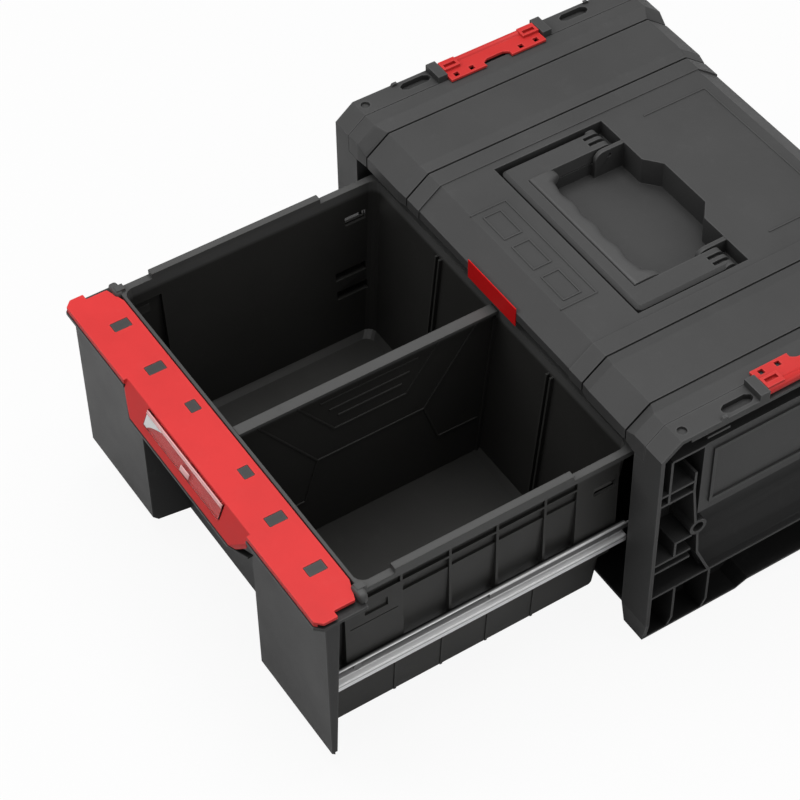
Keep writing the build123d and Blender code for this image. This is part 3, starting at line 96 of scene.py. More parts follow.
def mouldedGroup(cfg):
    # moulded plastic: fine grain for the bump, a slow random drift of tone and sheen, faint rub marks,
    # edges rubbed paler, partly a painted highlight, and hollows darkened as painted shade
    group, start, end = newGroup(
        "moulded plastic",
        [
            ("Colour", "NodeSocketColor", (0.05, 0.05, 0.05, 1)),
            ("Worn Colour", "NodeSocketColor", (0.09, 0.09, 0.09, 1)),
            ("Roughness", "NodeSocketFloat", 0.5),
            ("Grain Scale", "NodeSocketFloat", 1500.0),
            ("Wear", "NodeSocketFloat", 0.3),
            ("Edge", "NodeSocketFloat", 0.5),
            ("Hollow", "NodeSocketFloat", 0.4),
        ],
        [("Colour", "NodeSocketColor"), ("Roughness", "NodeSocketFloat"), ("Height", "NodeSocketFloat")],
    )
    link = group.links.new
    coords = put(group, "ShaderNodeTexCoord")
    place = coords.outputs["Object"]
    grain = put(group, "ShaderNodeTexNoise", Detail=2.0, Roughness=0.55)
    link(place, grain.inputs["Vector"])
    link(start.outputs["Grain Scale"], grain.inputs["Scale"])
    drift = put(group, "ShaderNodeTexNoise", Scale=14.0, Detail=4.0, Roughness=0.6)
    link(place, drift.inputs["Vector"])
    rubs = put(group, "ShaderNodeTexNoise", Scale=70.0, Detail=6.0, Roughness=0.75)
    link(place, rubs.inputs["Vector"])
    rubMask = put(group, "ShaderNodeMapRange", From_Min=0.56, From_Max=0.78, To_Min=0.0, To_Max=1.0)
    link(rubs.outputs["Fac"], rubMask.inputs["Value"])
    amount = put(group, "ShaderNodeMath", operation="MULTIPLY")
    link(rubMask.outputs["Result"], amount.inputs[0])
    link(start.outputs["Wear"], amount.inputs[1])
    # edges paler: partly wear, partly a painted highlight along the edges
    inward = put(
        group, "ShaderNodeAmbientOcclusion",
        samples=cfg["rays"], inside=True, only_local=True, Distance=cfg["edge"],
    )
    edgeMask = put(group, "ShaderNodeMapRange", From_Min=0.45, From_Max=0.85, To_Min=1.0, To_Max=0.0)
    link(inward.outputs["AO"], edgeMask.inputs["Value"])
    edgeAmount = put(group, "ShaderNodeMath", operation="MULTIPLY")
    link(edgeMask.outputs["Result"], edgeAmount.inputs[0])
    link(start.outputs["Edge"], edgeAmount.inputs[1])
    either = put(group, "ShaderNodeMath", operation="MAXIMUM")
    link(amount.outputs[0], either.inputs[0])
    link(edgeAmount.outputs[0], either.inputs[1])
    # the paler colour serves the rub marks (wear) and the edges (wear and painted highlight)
    worn = put(group, "ShaderNodeMix", data_type="RGBA")
    link(either.outputs[0], worn.inputs["Factor"])
    link(start.outputs["Colour"], worn.inputs["A"])
    link(start.outputs["Worn Colour"], worn.inputs["B"])
    shade = put(group, "ShaderNodeMapRange", From_Min=0.3, From_Max=0.7, To_Min=0.94, To_Max=1.06)
    link(drift.outputs["Fac"], shade.inputs["Value"])
    tinted = put(group, "ShaderNodeVectorMath", operation="SCALE")
    link(worn.outputs["Result"], tinted.inputs[0])
    link(shade.outputs["Result"], tinted.inputs["Scale"])
    # painted shade: the colour darkens in hollows found by outward occlusion
    outward = put(
        group, "ShaderNodeAmbientOcclusion",
        samples=cfg["rays"], only_local=True, Distance=cfg["hollow"],
    )
    closed = put(group, "ShaderNodeMapRange", From_Min=0.3, From_Max=0.95, To_Min=1.0, To_Max=0.0)
    link(outward.outputs["AO"], closed.inputs["Value"])
    dulled = put(group, "ShaderNodeMath", operation="MULTIPLY")
    link(closed.outputs["Result"], dulled.inputs[0])
    link(start.outputs["Hollow"], dulled.inputs[1])
    kept = put(group, "ShaderNodeMath", operation="SUBTRACT")
    kept.inputs[0].default_value = 1.0
    link(dulled.outputs[0], kept.inputs[1])
    darkened = put(group, "ShaderNodeVectorMath", operation="SCALE")
    link(tinted.outputs["Vector"], darkened.inputs[0])
    link(kept.outputs[0], darkened.inputs["Scale"])
    link(darkened.outputs["Vector"], end.inputs["Colour"])
    sheen = put(group, "ShaderNodeMapRange", From_Min=0.3, From_Max=0.7, To_Min=-0.05, To_Max=0.05)
    link(drift.outputs["Fac"], sheen.inputs["Value"])
    rough = put(group, "ShaderNodeMath", operation="ADD", use_clamp=True)
    link(start.outputs["Roughness"], rough.inputs[0])
    link(sheen.outputs["Result"], rough.inputs[1])
    link(rough.outputs[0], end.inputs["Roughness"])
    link(grain.outputs["Fac"], end.inputs["Height"])
    return group


moulded = mouldedGroup(mouldedReach)


def heightTone(tree, cfg):
    # painted light and shade: the colour pales upwards over a span of heights
    coords = put(tree, "ShaderNodeTexCoord")
    axes = put(tree, "ShaderNodeSeparateXYZ")
    tree.links.new(coords.outputs["Object"], axes.inputs["Vector"])
    low, high = cfg["fadeSpan"]
    mask = put(tree, "ShaderNodeMapRange", From_Min=low, From_Max=high)
    tree.links.new(axes.outputs["Z"], mask.inputs["Value"])
    mix = put(tree, "ShaderNodeMix", data_type="RGBA")
    mix.inputs["A"].default_value = (*cfg["colour"], 1)
    mix.inputs["B"].default_value = (*cfg["upper"], 1)
    tree.links.new(mask.outputs["Result"], mix.inputs["Factor"])
    return mix.outputs["Result"]


def plastic(name, cfg):
    # a moulded finish: colour, rubs, sheen, paler edges and painted hollow shade from the group, grain
    # as bump
    mat, tree, bsdf = newTree(name)
    group = put(tree, "ShaderNodeGroup", node_tree=moulded)
    group.inputs["Colour"].default_value = (*cfg["colour"], 1)
    group.inputs["Worn Colour"].default_value = (*cfg["worn"], 1)
    group.inputs["Roughness"].default_value = cfg["roughness"]
    group.inputs["Grain Scale"].default_value = cfg["grainScale"]
    group.inputs["Wear"].default_value = cfg["wear"]
    group.inputs["Edge"].default_value = cfg["edge"]
    group.inputs["Hollow"].default_value = cfg["hollow"]
    bump = put(tree, "ShaderNodeBump", Strength=1.0, Distance=cfg["grainDepth"])
    link = tree.links.new
    # painted light and shade: a colour that pales upwards, where the look gives one
    if "upper" in cfg:
        link(heightTone(tree, cfg), group.inputs["Colour"])
    link(group.outputs["Colour"], bsdf.inputs["Base Color"])
    link(group.outputs["Roughness"], bsdf.inputs["Roughness"])
    link(group.outputs["Height"], bump.inputs["Height"])
    link(bump.outputs["Normal"], bsdf.inputs["Normal"])
    bsdf.inputs["Specular IOR Level"].default_value = cfg["specular"]
    return mat


# painted shade: the casing's colour darkens towards the floor, where less light falls
casingLook = {
    "colour": (0.022, 0.022, 0.022), "worn": (0.1, 0.1, 0.1), "roughness": 0.5,
    "grainScale": 1400.0, "grainDepth": 0.00006, "wear": 0.25, "edge": 0.7,
    "hollow": 0.55, "specular": 0.22,
    "upper": (0.065, 0.065, 0.065), "fadeSpan": (0.0, 0.14),
}
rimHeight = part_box("drawer_tub")[1][2]
# painted light and shade: the bin is lighter over a band at its rim and darker below, where less light
# reaches
binLook = {
    "colour": (0.0265, 0.026, 0.0245), "worn": (0.045, 0.045, 0.042), "roughness": 0.5,
    "grainScale": 1200.0, "grainDepth": 0.00006, "wear": 0.3, "edge": 0.5,
    "hollow": 0.25, "specular": 0.3,
    "upper": (0.08, 0.08, 0.079), "fadeSpan": (rimHeight - 16 * mm, rimHeight - 12 * mm),
}
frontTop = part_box("drawer_front")[1][2]
# painted light: the drawer front's top is paler than its faces below, as the top catches more light
frontLook = dict(
    casingLook, colour=(0.034, 0.034, 0.034), roughness=0.42, specular=0.2,
    upper=(0.066, 0.066, 0.065), fadeSpan=(frontTop - 5 * mm, frontTop - 3 * mm),
)
gripLook = {
    "colour": (0.07, 0.07, 0.07), "worn": (0.1, 0.1, 0.1), "roughness": 0.42,
    "grainScale": 2200.0, "grainDepth": 0.00006, "wear": 0.2, "edge": 0.3,
    "hollow": 0.2, "specular": 0.45,
}
stripLook = {
    "colour": (0.74, 0.042, 0.042), "worn": (0.78, 0.09, 0.085), "roughness": 0.5,
    "grainScale": 1600.0, "grainDepth": 0.00004, "wear": 0.2, "edge": 0.5,
    "hollow": 0.15, "specular": 0.2,
}
latchLook = {
    "colour": (0.64, 0.03, 0.028), "worn": (0.75, 0.09, 0.08), "roughness": 0.42,
    "grainScale": 1600.0, "grainDepth": 0.00004, "wear": 0.2, "edge": 0.5,
    "hollow": 0.3, "specular": 0.35,
}
tagLook = {
    "colour": (0.68, 0.004, 0.006), "worn": (0.72, 0.03, 0.03), "roughness": 0.5,
    "grainScale": 900.0, "grainDepth": 0.00002, "wear": 0.1, "edge": 0.3,
    "hollow": 0.1, "specular": 0.15,
}
casingBlack = plastic("casing black", casingLook)
binBlack = plastic("bin black", binLook)
frontBlack = plastic("front black", frontLook)
gripSoft = plastic("grip soft", gripLook)
stripRed = plastic("strip red", stripLook)
latchRed = plastic("latch red", latchLook)
tagRed = plastic("tag red", tagLook)


def slideTone(tree, cfg):
    # painted shade and painted reflection on rolled steel: dark and bright bands by height, and a roof
    # painted brighter towards its outer side as a painted highlight
    low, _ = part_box("right_drawer_rail")
    top = cfg["bands"][-1][0]
    link = tree.links.new
    coords = put(tree, "ShaderNodeTexCoord")
    axes = put(tree, "ShaderNodeSeparateXYZ")
    link(coords.outputs["Object"], axes.inputs["Vector"])
    rise = put(tree, "ShaderNodeMapRange", From_Min=low[2], From_Max=low[2] + top)
    link(axes.outputs["Z"], rise.inputs["Value"])
    ramp = put(tree, "ShaderNodeValToRGB")
    stops = ramp.color_ramp.elements
    for count, (height, grey) in enumerate(cfg["bands"]):
        stop = stops[count] if count < 2 else stops.new(1.0)
        stop.position = height / top
        stop.color = (grey, grey, grey * 1.005, 1)
    link(rise.outputs["Result"], ramp.inputs["Fac"])
    side = put(tree, "ShaderNodeMath", operation="ABSOLUTE")
    link(axes.outputs["X"], side.inputs[0])
    reach = put(tree, "ShaderNodeMapRange", From_Min=low[0], From_Max=low[0] + cfg["roofReach"])
    link(side.outputs[0], reach.inputs["Value"])
    fade = put(tree, "ShaderNodeMath", operation="POWER")
    link(reach.outputs["Result"], fade.inputs[0])
    fade.inputs[1].default_value = cfg["roofFade"]
    roof = low[2] + cfg["roofFrom"]
    onRoof = put(tree, "ShaderNodeMapRange", From_Min=roof, From_Max=roof + cfg["roofBlend"])
    link(axes.outputs["Z"], onRoof.inputs["Value"])
    mix = put(tree, "ShaderNodeMix", data_type="RGBA")
    link(onRoof.outputs["Result"], mix.inputs["Factor"])
    link(ramp.outputs["Color"], mix.inputs["A"])
    link(fade.outputs[0], mix.inputs["B"])
    return mix.outputs["Result"]


def steel(name, cfg):
    # rolled steel: fine streaks along the length of the slide
    mat, tree, bsdf = newTree(name)
    link = tree.links.new
    coords = put(tree, "ShaderNodeTexCoord")
    stretch = put(tree, "ShaderNodeMapping")
    stretch.inputs["Scale"].default_value = cfg["streaks"]
    link(coords.outputs["Object"], stretch.inputs["Vector"])
    streaks = put(tree, "ShaderNodeTexNoise", Scale=1.0, Detail=3.0)
    link(stretch.outputs["Vector"], streaks.inputs["Vector"])
    low, high = cfg["roughness"]
    shade = put(tree, "ShaderNodeMapRange", From_Min=0.3, From_Max=0.7, To_Min=low, To_Max=high)
    link(streaks.outputs["Fac"], shade.inputs["Value"])
    link(shade.outputs["Result"], bsdf.inputs["Roughness"])
    bump = put(tree, "ShaderNodeBump", Strength=0.1, Distance=cfg["depth"])
    link(streaks.outputs["Fac"], bump.inputs["Height"])
    link(bump.outputs["Normal"], bsdf.inputs["Normal"])
    # painted shade and painted reflection: bands by height where the look gives them
    if "bands" in cfg:
        link(slideTone(tree, cfg), bsdf.inputs["Base Color"])
    else:
        bsdf.inputs["Base Color"].default_value = (*cfg["colour"], 1)
    bsdf.inputs["Metallic"].default_value = cfg["metallic"]
    return mat


slideLook = {
    "streaks": (1600.0, 2.0, 1600.0), "roughness": (0.3, 0.36), "depth": 0.000001, "metallic": 0.3,
    "bands": (
        (0.0, 0.98), (3.9 * mm, 0.98), (4.6 * mm, 0.5), (5.1 * mm, 0.5),  # lip painted bright as a reflection, and its dark line painted shade
        (5.9 * mm, 1.0), (7.6 * mm, 1.0),  # floor of the channel, painted bright as a reflection
        (8.0 * mm, 0.5), (9.2 * mm, 0.38), (10.6 * mm, 0.13), (17.6 * mm, 0.13),  # web and groove, painted shade
        (18.6 * mm, 0.9), (20.5 * mm, 1.0),  # roof, painted bright as a highlight
    ),
    "roofFrom": 19.2 * mm, "roofBlend": 0.3 * mm, "roofReach": 3.7 * mm, "roofFade": 4.0,
}
screwLook = {
    "colour": (0.32, 0.32, 0.33), "streaks": (900.0, 900.0, 900.0), "roughness": (0.34, 0.48),
    "depth": 0.00002, "metallic": 1.0,
}
slideSteel = steel("slide steel", slideLook)
screwSteel = steel("screw steel", screwLook)

windowLook = {"tint": (1.0, 0.93, 0.93), "ior": 1.25, "haze": (0.0, 0.02)}


def clearPlastic(cfg):
    # clear moulding with a slight haze that drifts over the sheet
    mat, tree, bsdf = newTree("window clear")
    coords = put(tree, "ShaderNodeTexCoord")
    haze = put(tree, "ShaderNodeTexNoise", Scale=60.0, Detail=3.0)
    tree.links.new(coords.outputs["Object"], haze.inputs["Vector"])
    low, high = cfg["haze"]
    shade = put(tree, "ShaderNodeMapRange", From_Min=0.3, From_Max=0.7, To_Min=low, To_Max=high)
    tree.links.new(haze.outputs["Fac"], shade.inputs["Value"])
    tree.links.new(shade.outputs["Result"], bsdf.inputs["Roughness"])
    bsdf.inputs["Base Color"].default_value = (*cfg["tint"], 1)
    bsdf.inputs["Transmission Weight"].default_value = 1.0
    bsdf.inputs["IOR"].default_value = cfg["ior"]
    return mat


windowClear = clearPlastic(windowLook)

finishes = {
    "black_plastic": casingBlack,
    "grip_plastic": gripSoft,
    "red_plastic": stripRed,
    "red_tag": tagRed,
    "clear_plastic": windowClear,
    "slide_steel": slideSteel,
    "screw_steel": screwSteel,
}
special = {
    "drawer_tub": binBlack,
    "drawer_divider": binBlack,
    "drawer_front": frontBlack,
    "right_latch": latchRed,
    "left_latch": latchRed,
    "drawer_rail_screws": slideSteel,
}
for entry in frame["record"]["subparts"]:
    node = entry["node"]
    finish = special.get(node, finishes[entry["material_slot"]])
    mesh = nodes[node].data
    mesh.materials.clear()
    mesh.materials.append(finish)
print("finishes on", len(nodes), "nodes")

# Rounded edges on the solids, width in millimetres
edgeWidths = {
    "top_cover": 0.8, "right_side_frame": 0.7, "left_side_frame": 0.7, "handle_frame": 1.2,
    "drawer_front": 1.2, "pull_strip": 0.8, "drawer_tub": 0.5, "drawer_divider": 0.4, "right_latch": 0.5,
    "left_latch": 0.5, "front_tag": 0.15, "base_tray": 0.5, "rear_panel": 0.5, "right_drawer_rail": 0.65,
    "left_drawer_rail": 0.65, "right_mid_rail": 0.3, "left_mid_rail": 0.3, "label_window": 0.25,
}
edgeCut = {"merge": 0.00001, "segments": 3, "angle": 28.0}


def roundEdges(solid, width, cfg):
    weld = solid.modifiers.new("weld", "WELD")
    weld.merge_threshold = cfg["merge"]
    bevel = solid.modifiers.new("edges", "BEVEL")
    bevel.width = width * mm
    bevel.segments = cfg["segments"]
    bevel.limit_method = "ANGLE"
    bevel.angle_limit = math.radians(cfg["angle"])
    bevel.harden_normals = True


for node, width in edgeWidths.items():
    roundEdges(nodes[node], width, edgeCut)
print("edges rounded on", len(edgeWidths), "nodes")


# Pieces made here

def gridMesh(name, points, finish, body, tube=False):
    # a grid of points (rows, columns, 3) as quads
    # a tube joins its last column to its first and has end caps
    rows, cols = points.shape[:2]
    index = np.arange(rows * cols).reshape(rows, cols)
    around = np.hstack([index, index[:, :1]]) if tube else index
    near, far = around[:-1], around[1:]
    quads = np.stack([near[:, :-1], near[:, 1:], far[:, 1:], far[:, :-1]], axis=-1).reshape(-1, 4)
    caps = np.stack([index[0, ::-1], index[-1]]) if tube else np.empty((0, cols), int)
    starts = np.concatenate([np.arange(len(quads)) * 4, quads.size + np.arange(len(caps)) * cols])
    corners = np.concatenate([quads.reshape(-1), caps.reshape(-1)])
    mesh = bpy.data.meshes.new(name)
    mesh.vertices.add(rows * cols)
    mesh.vertices.foreach_set("co", points.reshape(-1))
    mesh.loops.add(len(corners))
    mesh.loops.foreach_set("vertex_index", corners)
    mesh.polygons.add(len(starts))
    mesh.polygons.foreach_set("loop_start", starts)
    mesh.polygons.foreach_set("use_smooth", np.arange(len(starts)) < len(quads))
    mesh.update(calc_edges=True)
    mesh.validate()
    mesh.materials.append(finish)
    piece = bpy.data.objects.new(name, mesh)
    scene.collection.objects.link(piece)
    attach(piece, body)
    return piece


def signedPower(wave, power):
    # a wave raised to a power with its sign kept
    return np.sign(wave) * np.abs(wave) ** power


gripRoll = {
    "depth": 17.0 * mm, "ear": 12.0 * mm, "earRise": 0.6, "wave": 2.6 * mm, "waves": 4,
    "back": 2.3, "front": 9.0, "rows": 181, "cols": 72,
}


def rolledGrip(cfg):
    # section at x: superellipse, square on the bar's side and round on the fingers' side
    # its depth waves along x by a cosine and swells to full depth over an ear at each end
    low, high = (np.array(corner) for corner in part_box("handle_grip"))
    half = high[0]
    x = np.linspace(-half, half, cfg["rows"])[:, None]
    turn = np.linspace(0, 2 * np.pi, cfg["cols"], endpoint=False)[None, :]
    inner = half - cfg["ear"]
    rise = np.clip((np.abs(x) - inner) / (cfg["ear"] * cfg["earRise"]), 0, 1)
    swell = rise * rise * (3 - 2 * rise)
    phase = 2 * np.pi * cfg["waves"] * (x + inner) / (2 * inner)
    ripple = np.where(np.abs(x) < inner, (1 - np.cos(phase)) / 2, 0)
    depth = cfg["depth"] - cfg["wave"] * ripple + (high[1] - low[1] - cfg["depth"]) * swell
    power = 2 / np.where(np.cos(turn) > 0, cfg["back"], cfg["front"])
    across = signedPower(np.cos(turn), power)
    upward = signedPower(np.sin(turn), power)
    y = low[1] + depth / 2 * (1 + across)
    z = (low[2] + high[2]) / 2 + (high[2] - low[2]) / 2 * upward
    points = np.stack(np.broadcast_arrays(x, y, z), axis=-1)
    grip = gridMesh("rolled_grip", points, gripSoft, "handle", tube=True)
    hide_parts("handle_grip")


rolledGrip(gripRoll)
print("grip rolled")


raceRoll = {
    "wall": 1.2 * mm, "lip": 7.3 * mm, "above": 4.2 * mm, "tall": 5.2 * mm, "proud": 1.1 * mm,
    "fromFront": 2 * mm, "fromRear": 30 * mm, "rows": 60, "cols": 32,
}


def slideRace(node, name, cfg):
    # half an ellipse against the web, carried along the slide
    low, high = (np.array(corner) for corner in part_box(node))
    side = np.sign(low[0] + high[0])
    web = min(abs(low[0]), abs(high[0])) + cfg["wall"]
    y = np.linspace(low[1] + cfg["fromFront"], high[1] - cfg["fromRear"], cfg["rows"])[:, None]
    turn = np.linspace(-np.pi / 2, np.pi / 2, cfg["cols"])[None, ::int(-side)]
    x = side * (web + cfg["proud"] * np.cos(turn)) + 0 * y
    z = low[2] + cfg["lip"] + cfg["above"] + cfg["tall"] / 2 * np.sin(turn) + 0 * y
    points = np.stack(np.broadcast_arrays(x, y, z), axis=-1)
    gridMesh(name, points, slideSteel, "drawer", tube=True)


slideRace("right_drawer_rail", "right_race", raceRoll)
slideRace("left_drawer_rail", "left_race", raceRoll)
print("slide races rolled")


earShape = {
    "place": (181.8 * mm, -389.2 * mm, 190.9 * mm), "reach": (7.6 * mm, 4.0 * mm, 5.8 * mm),
    "power": 0.56, "swing": 84, "rows": 28, "cols": 40,
}


def rimEar(name, side, cfg):
    # superellipsoid: each cosine and sine is raised to the same power, keeping its sign
    swing = np.radians(np.linspace(-cfg["swing"], cfg["swing"], cfg["rows"]))[:, None]
    turn = np.linspace(0, 2 * np.pi, cfg["cols"], endpoint=False)[None, :]
    power = cfg["power"]
    place, reach = np.array(cfg["place"]) * (side, 1, 1), cfg["reach"]
    ring = signedPower(np.cos(swing), power)
    x = place[0] + reach[0] * ring * signedPower(np.cos(turn), power)
    y = place[1] + reach[1] * ring * signedPower(np.sin(turn), power)
    z = place[2] + reach[2] * signedPower(np.sin(swing), power) + 0 * turn
    points = np.stack(np.broadcast_arrays(x, y, z), axis=-1)
    gridMesh(name, points, binBlack, "drawer", tube=True)


slotBack = {
    "out": 177.9 * mm, "y": (-384.2 * mm, -363.8 * mm), "z": (158.3 * mm, 167.7 * mm), "dome": 0.5 * mm,
    "thick": 0.8 * mm, "rows": 16, "cols": 30,
}


def closedSlot(name, side, cfg):
    # a panel at the back of the slot: out + dome * (1 - u^4) * (1 - v^4)
    u, v = np.meshgrid(np.linspace(-1, 1, cfg["cols"]), np.linspace(-1, 1, cfg["rows"]))
    x = side * (cfg["out"] + cfg["dome"] * (1 - u ** 4) * (1 - v ** 4))
    y = np.interp(u * side, (-1, 1), cfg["y"])
    z = np.interp(v, (-1, 1), cfg["z"])
    panel = gridMesh(name, np.stack([x, y, z], axis=-1), binBlack, "drawer")
    back = panel.modifiers.new("back", "SOLIDIFY")
    back.thickness = cfg["thick"]
    back.offset = -1.0


for side, hand in ((1, "right"), (-1, "left")):
    rimEar(hand + "_ear", side, earShape)
    closedSlot(hand + "_slot_back", side, slotBack)
print("rim ears and slot backs added")


def platePlane(node):
    # corner, long side, slope and outward normal of a thin slanted plate, from its own corners
    mesh = nodes[node].data
    flat = np.empty(len(mesh.vertices) * 3)
    mesh.vertices.foreach_get("co", flat)
    points = flat.reshape(-1, 3)
    left, right = points[:, 0].min(), points[:, 0].max()
    ends = np.unique(np.round(points[points[:, 0] < (left + right) / 2][:, 1:], 6), axis=0)
    middle = ends.mean(axis=0)
    _, _, axes = np.linalg.svd(ends - middle)
    slope = axes[0] * np.sign(axes[0][1])
    normal = np.array([-slope[1], slope[0]])
    along = (ends - middle) @ slope
    across = (ends - middle) @ normal
    corner = middle + slope * along.min() + normal * across.min()
    size = np.array([right - left, np.ptp(along), np.ptp(across)])
    start = np.array([left, *corner])
    return start, np.array([0, *slope]), np.array([0, *normal]), size


windowStart, windowUp, windowOut, windowSize = platePlane("label_window")
print("window plate", np.round(windowSize / mm, 2), "mm")


def onWindow(x, up, out):
    # a point over the window: along X, up its slope and out of its face, all in metres
    along = x[..., None] * np.array([1.0, 0, 0])
    return windowStart + along + up[..., None] * windowUp + out[..., None] * windowOut


# painted reflection: a white patch on the window's face in the shape of a softbox's reflection
cardLook = {
    "colour": (0.97, 0.97, 0.97), "worn": (0.92, 0.92, 0.9), "roughness": 0.6,
    "grainScale": 2600.0, "grainDepth": 0.00001, "wear": 0.3, "edge": 0.0,
    "hollow": 0.0, "specular": 0.3,
}
cardCut = {
    "margin": 1.2 * mm, "short": 5 * mm, "long": 32 * mm, "curve": 1.5, "lift": 0.05 * mm,
    "thick": 0.2 * mm, "rows": 24, "cols": 24,
}
cardPaper = plastic("card paper", cardLook)


# painted reflection laid on the window's face
def blankCard(cfg):
    # across u and up v: x runs to short + (long - short) * v^curve, so the free end is a hollow curve
    u, v = np.meshgrid(np.linspace(0, 1, cfg["cols"]), np.linspace(0, 1, cfg["rows"]))
    reach = cfg["short"] + (cfg["long"] - cfg["short"]) * v ** cfg["curve"]
    up = cfg["margin"] + v * (windowSize[1] - 2 * cfg["margin"])
    points = onWindow(cfg["margin"] + u * reach, up, np.full_like(u, windowSize[2] + cfg["lift"]))
    card = gridMesh("label_card", points, cardPaper, "drawer")
    paper = card.modifiers.new("paper", "SOLIDIFY")
    paper.thickness = cfg["thick"]
    paper.offset = 1.0


blankCard(cardCut)
print("label card laid in")

# painted highlight: the window's lip and tab are pale pink so that the clear plastic shows bright lines
# there
edgeLook = {
    "colour": (0.86, 0.42, 0.42), "worn": (0.9, 0.6, 0.6), "roughness": 0.25,
    "grainScale": 900.0, "grainDepth": 0.000005, "wear": 0.2, "edge": 0.3,
    "hollow": 0.0, "specular": 0.5,
}
lipCut = {
    "drop": 3.6 * mm, "height": 0.7 * mm, "base": 0.25, "ridges": 2, "inset": 0.4 * mm,
    "rows": 40, "cols": 48,
}
tabCut = {
    "centre": 0.55, "width": 13 * mm, "low": 1.4 * mm, "tall": 5 * mm, "height": 0.8 * mm,
    "thick": 0.2 * mm, "rows": 24, "cols": 36,
}
edgeClear = plastic("window edge", edgeLook)


def windowLip(cfg):
    # a closed section carried along the window: flat below, above it ridges of |sin| over the drop
    length = windowSize[0] - 2 * cfg["inset"]
    half = cfg["cols"] // 2
    over = np.linspace(0, 1, half)
    ridge = np.abs(np.sin(cfg["ridges"] * np.pi * over))
    crest = cfg["height"] * (cfg["base"] + (1 - cfg["base"]) * ridge)
    drop = np.concatenate([over, over[::-1]]) * cfg["drop"]
    out = np.concatenate([crest, np.zeros(half)])
    x = cfg["inset"] + np.linspace(0, length, cfg["rows"])
    grid = np.ones((cfg["rows"], 1))
    top = windowSize[1] - cfg["inset"]
    points = onWindow(x[:, None] * np.ones((1, 2 * half)), top - drop * grid, windowSize[2] + out * grid)
    gridMesh("window_lip", points, edgeClear, "drawer", tube=True)


def thumbTab(cfg):
    # a low pillow: out = height * (1 - u^4) * (1 - v^4) over a rectangle near the window's lower edge
    u, v = np.meshgrid(np.linspace(-1, 1, cfg["cols"]), np.linspace(-1, 1, cfg["rows"]))
    x = cfg["centre"] * windowSize[0] + u * cfg["width"] / 2
    up = cfg["low"] + (v + 1) * cfg["tall"] / 2
    points = onWindow(x, up, windowSize[2] + cfg["height"] * (1 - u ** 4) * (1 - v ** 4))
    tab = gridMesh("thumb_tab", points, edgeClear, "drawer")
    back = tab.modifiers.new("back", "SOLIDIFY")
    back.thickness = cfg["thick"]
    back.offset = 1.0


windowLip(lipCut)
thumbTab(tabCut)
print("window lip and tab added")

# Camera at the photograph's view
photoView = {
    "azimuth": 57.893, "elevation": 47.736, "roll": -1.036,
    "target": (0.0, -0.2379, 0.1379), "distance": 1.9877, "lens": 112.78, "sensor": 36.0,
}


def aimCamera(view):
    az, el, roll = (math.radians(view[key]) for key in ("azimuth", "elevation", "roll"))
    back = Vector((math.sin(az) * math.cos(el), -math.cos(az) * math.cos(el), math.sin(el)))
    right = Vector((math.cos(az), math.sin(az), 0.0))
    up = back.cross(right)
    turnedRight = right * math.cos(roll) + up * math.sin(roll)
    turnedUp = up * math.cos(roll) - right * math.sin(roll)
    place = Vector(view["target"]) + back * view["distance"]
    data = bpy.data.cameras.new("photo camera")
    data.lens = view["lens"]
    data.sensor_width = view["sensor"]
    data.clip_end = 100.0
    cam = bpy.data.objects.new("photo camera", data)
    cam.matrix_world = Matrix((
        (turnedRight.x, turnedUp.x, back.x, place.x),
        (turnedRight.y, turnedUp.y, back.y, place.y),
        (turnedRight.z, turnedUp.z, back.z, place.z),
        (0.0, 0.0, 0.0, 1.0),
    ))
    scene.collection.objects.link(cam)
    scene.camera = cam


aimCamera(photoView)

# Pale floor and soft light
studio = {
    "floorSize": 14.0, "floorColour": 0.86, "cameraLift": 0.92, "mirrorLift": 0.12, "bounce": 0.24,
    "worldLight": 0.25,
}
lamps = {
    "top softbox": {"place": (-0.2, -0.15, 2.5), "size": (2.0, 2.0), "power": 43.0},
    "front softbox": {"place": (-1.0, -2.0, 1.6), "size": (1.4, 1.4), "power": 11.0},
    "rear right softbox": {"place": (1.9, 0.8, 1.6), "size": (1.2, 1.2), "power": 7.0},
    "right fill": {"place": (2.4, -0.6, 1.0), "size": (1.2, 1.6), "power": 3.0},
}
lampAim = (0.0, -0.15, 0.1)


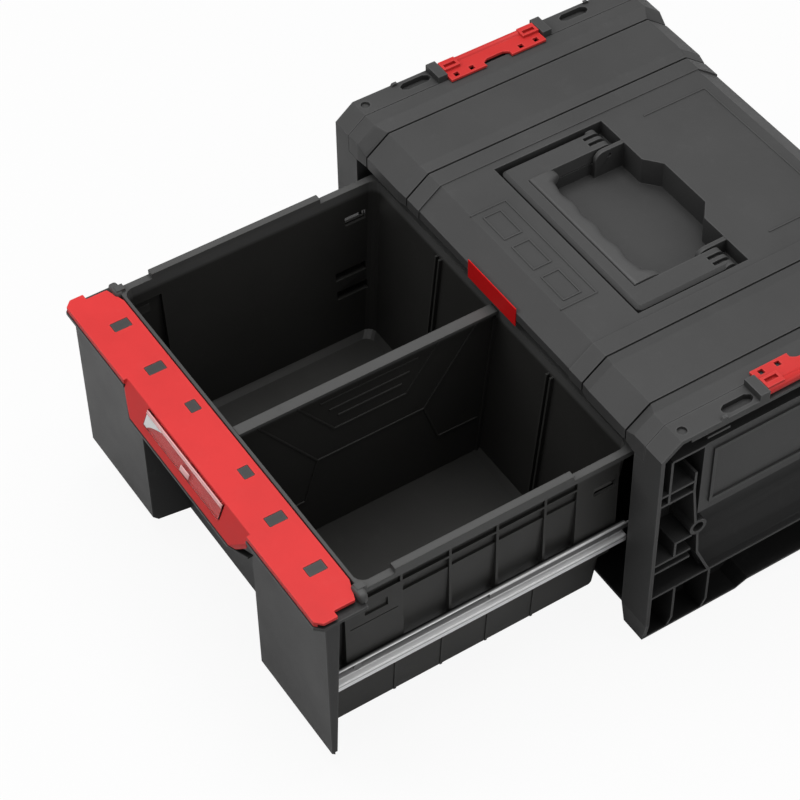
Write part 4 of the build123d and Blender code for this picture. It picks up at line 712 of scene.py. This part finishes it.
def layFloor(cfg):
    # the camera, metal and glass see a floor lifted to white; light that bounces sees a plainer one
    half = cfg["floorSize"] / 2
    mesh = bpy.data.meshes.new("floor")
    corners = [(-half, -half, 0), (half, -half, 0), (half, half, 0), (-half, half, 0)]
    mesh.from_pydata(corners, [], [(0, 1, 2, 3)])
    floor = bpy.data.objects.new("floor", mesh)
    scene.collection.objects.link(floor)
    mat = bpy.data.materials.new("pale floor")
    mat.use_nodes = True
    tree = mat.node_tree
    tree.nodes.clear()
    link = tree.links.new
    out = tree.nodes.new("ShaderNodeOutputMaterial")
    path = put(tree, "ShaderNodeLightPath")
    tone, bounce = cfg["floorColour"], cfg["bounce"]
    pale = put(tree, "ShaderNodeBsdfDiffuse", Color=(tone, tone, tone, 1))
    plain = put(tree, "ShaderNodeBsdfDiffuse", Color=(bounce, bounce, bounce, 1))
    white = put(tree, "ShaderNodeEmission", Color=(1, 1, 1, 1), Strength=1.0)
    mirror = put(tree, "ShaderNodeMath", operation="MAXIMUM")
    link(path.outputs["Is Glossy Ray"], mirror.inputs[0])
    link(path.outputs["Is Transmission Ray"], mirror.inputs[1])
    through = put(tree, "ShaderNodeMath", operation="MAXIMUM")
    link(path.outputs["Is Camera Ray"], through.inputs[0])
    link(mirror.outputs[0], through.inputs[1])
    share = put(tree, "ShaderNodeMapRange", To_Min=cfg["mirrorLift"], To_Max=cfg["cameraLift"])
    link(path.outputs["Is Camera Ray"], share.inputs["Value"])
    lifted = put(tree, "ShaderNodeMixShader")
    link(share.outputs["Result"], lifted.inputs["Fac"])
    link(pale.outputs["BSDF"], lifted.inputs[1])
    link(white.outputs["Emission"], lifted.inputs[2])
    mix = put(tree, "ShaderNodeMixShader")
    link(through.outputs[0], mix.inputs["Fac"])
    link(plain.outputs["BSDF"], mix.inputs[1])
    link(lifted.outputs["Shader"], mix.inputs[2])
    link(mix.outputs["Shader"], out.inputs["Surface"])
    mesh.materials.append(mat)


def lightWorld(cfg):
    world = bpy.data.worlds.new("studio")
    scene.world = world
    world.use_nodes = True
    tree = world.node_tree
    tree.nodes.clear()
    out = tree.nodes.new("ShaderNodeOutputWorld")
    soft = put(tree, "ShaderNodeBackground", Color=(1, 1, 1, 1), Strength=cfg["worldLight"])
    white = put(tree, "ShaderNodeBackground", Color=(1, 1, 1, 1), Strength=1.0)
    path = put(tree, "ShaderNodeLightPath")
    mix = put(tree, "ShaderNodeMixShader")
    tree.links.new(path.outputs["Is Camera Ray"], mix.inputs["Fac"])
    tree.links.new(soft.outputs["Background"], mix.inputs[1])
    tree.links.new(white.outputs["Background"], mix.inputs[2])
    tree.links.new(mix.outputs["Shader"], out.inputs["Surface"])


def hangLamp(name, cfg, aim):
    data = bpy.data.lights.new(name, "AREA")
    data.shape = "RECTANGLE"
    data.size, data.size_y = cfg["size"]
    data.energy = cfg["power"]
    lamp = bpy.data.objects.new(name, data)
    lamp.location = cfg["place"]
    lamp.rotation_euler = (Vector(aim) - Vector(cfg["place"])).to_track_quat("-Z", "Y").to_euler()
    scene.collection.objects.link(lamp)


layFloor(studio)
lightWorld(studio)
for name, cfg in lamps.items():
    hangLamp(name, cfg, lampAim)
print("camera, floor and lights set")
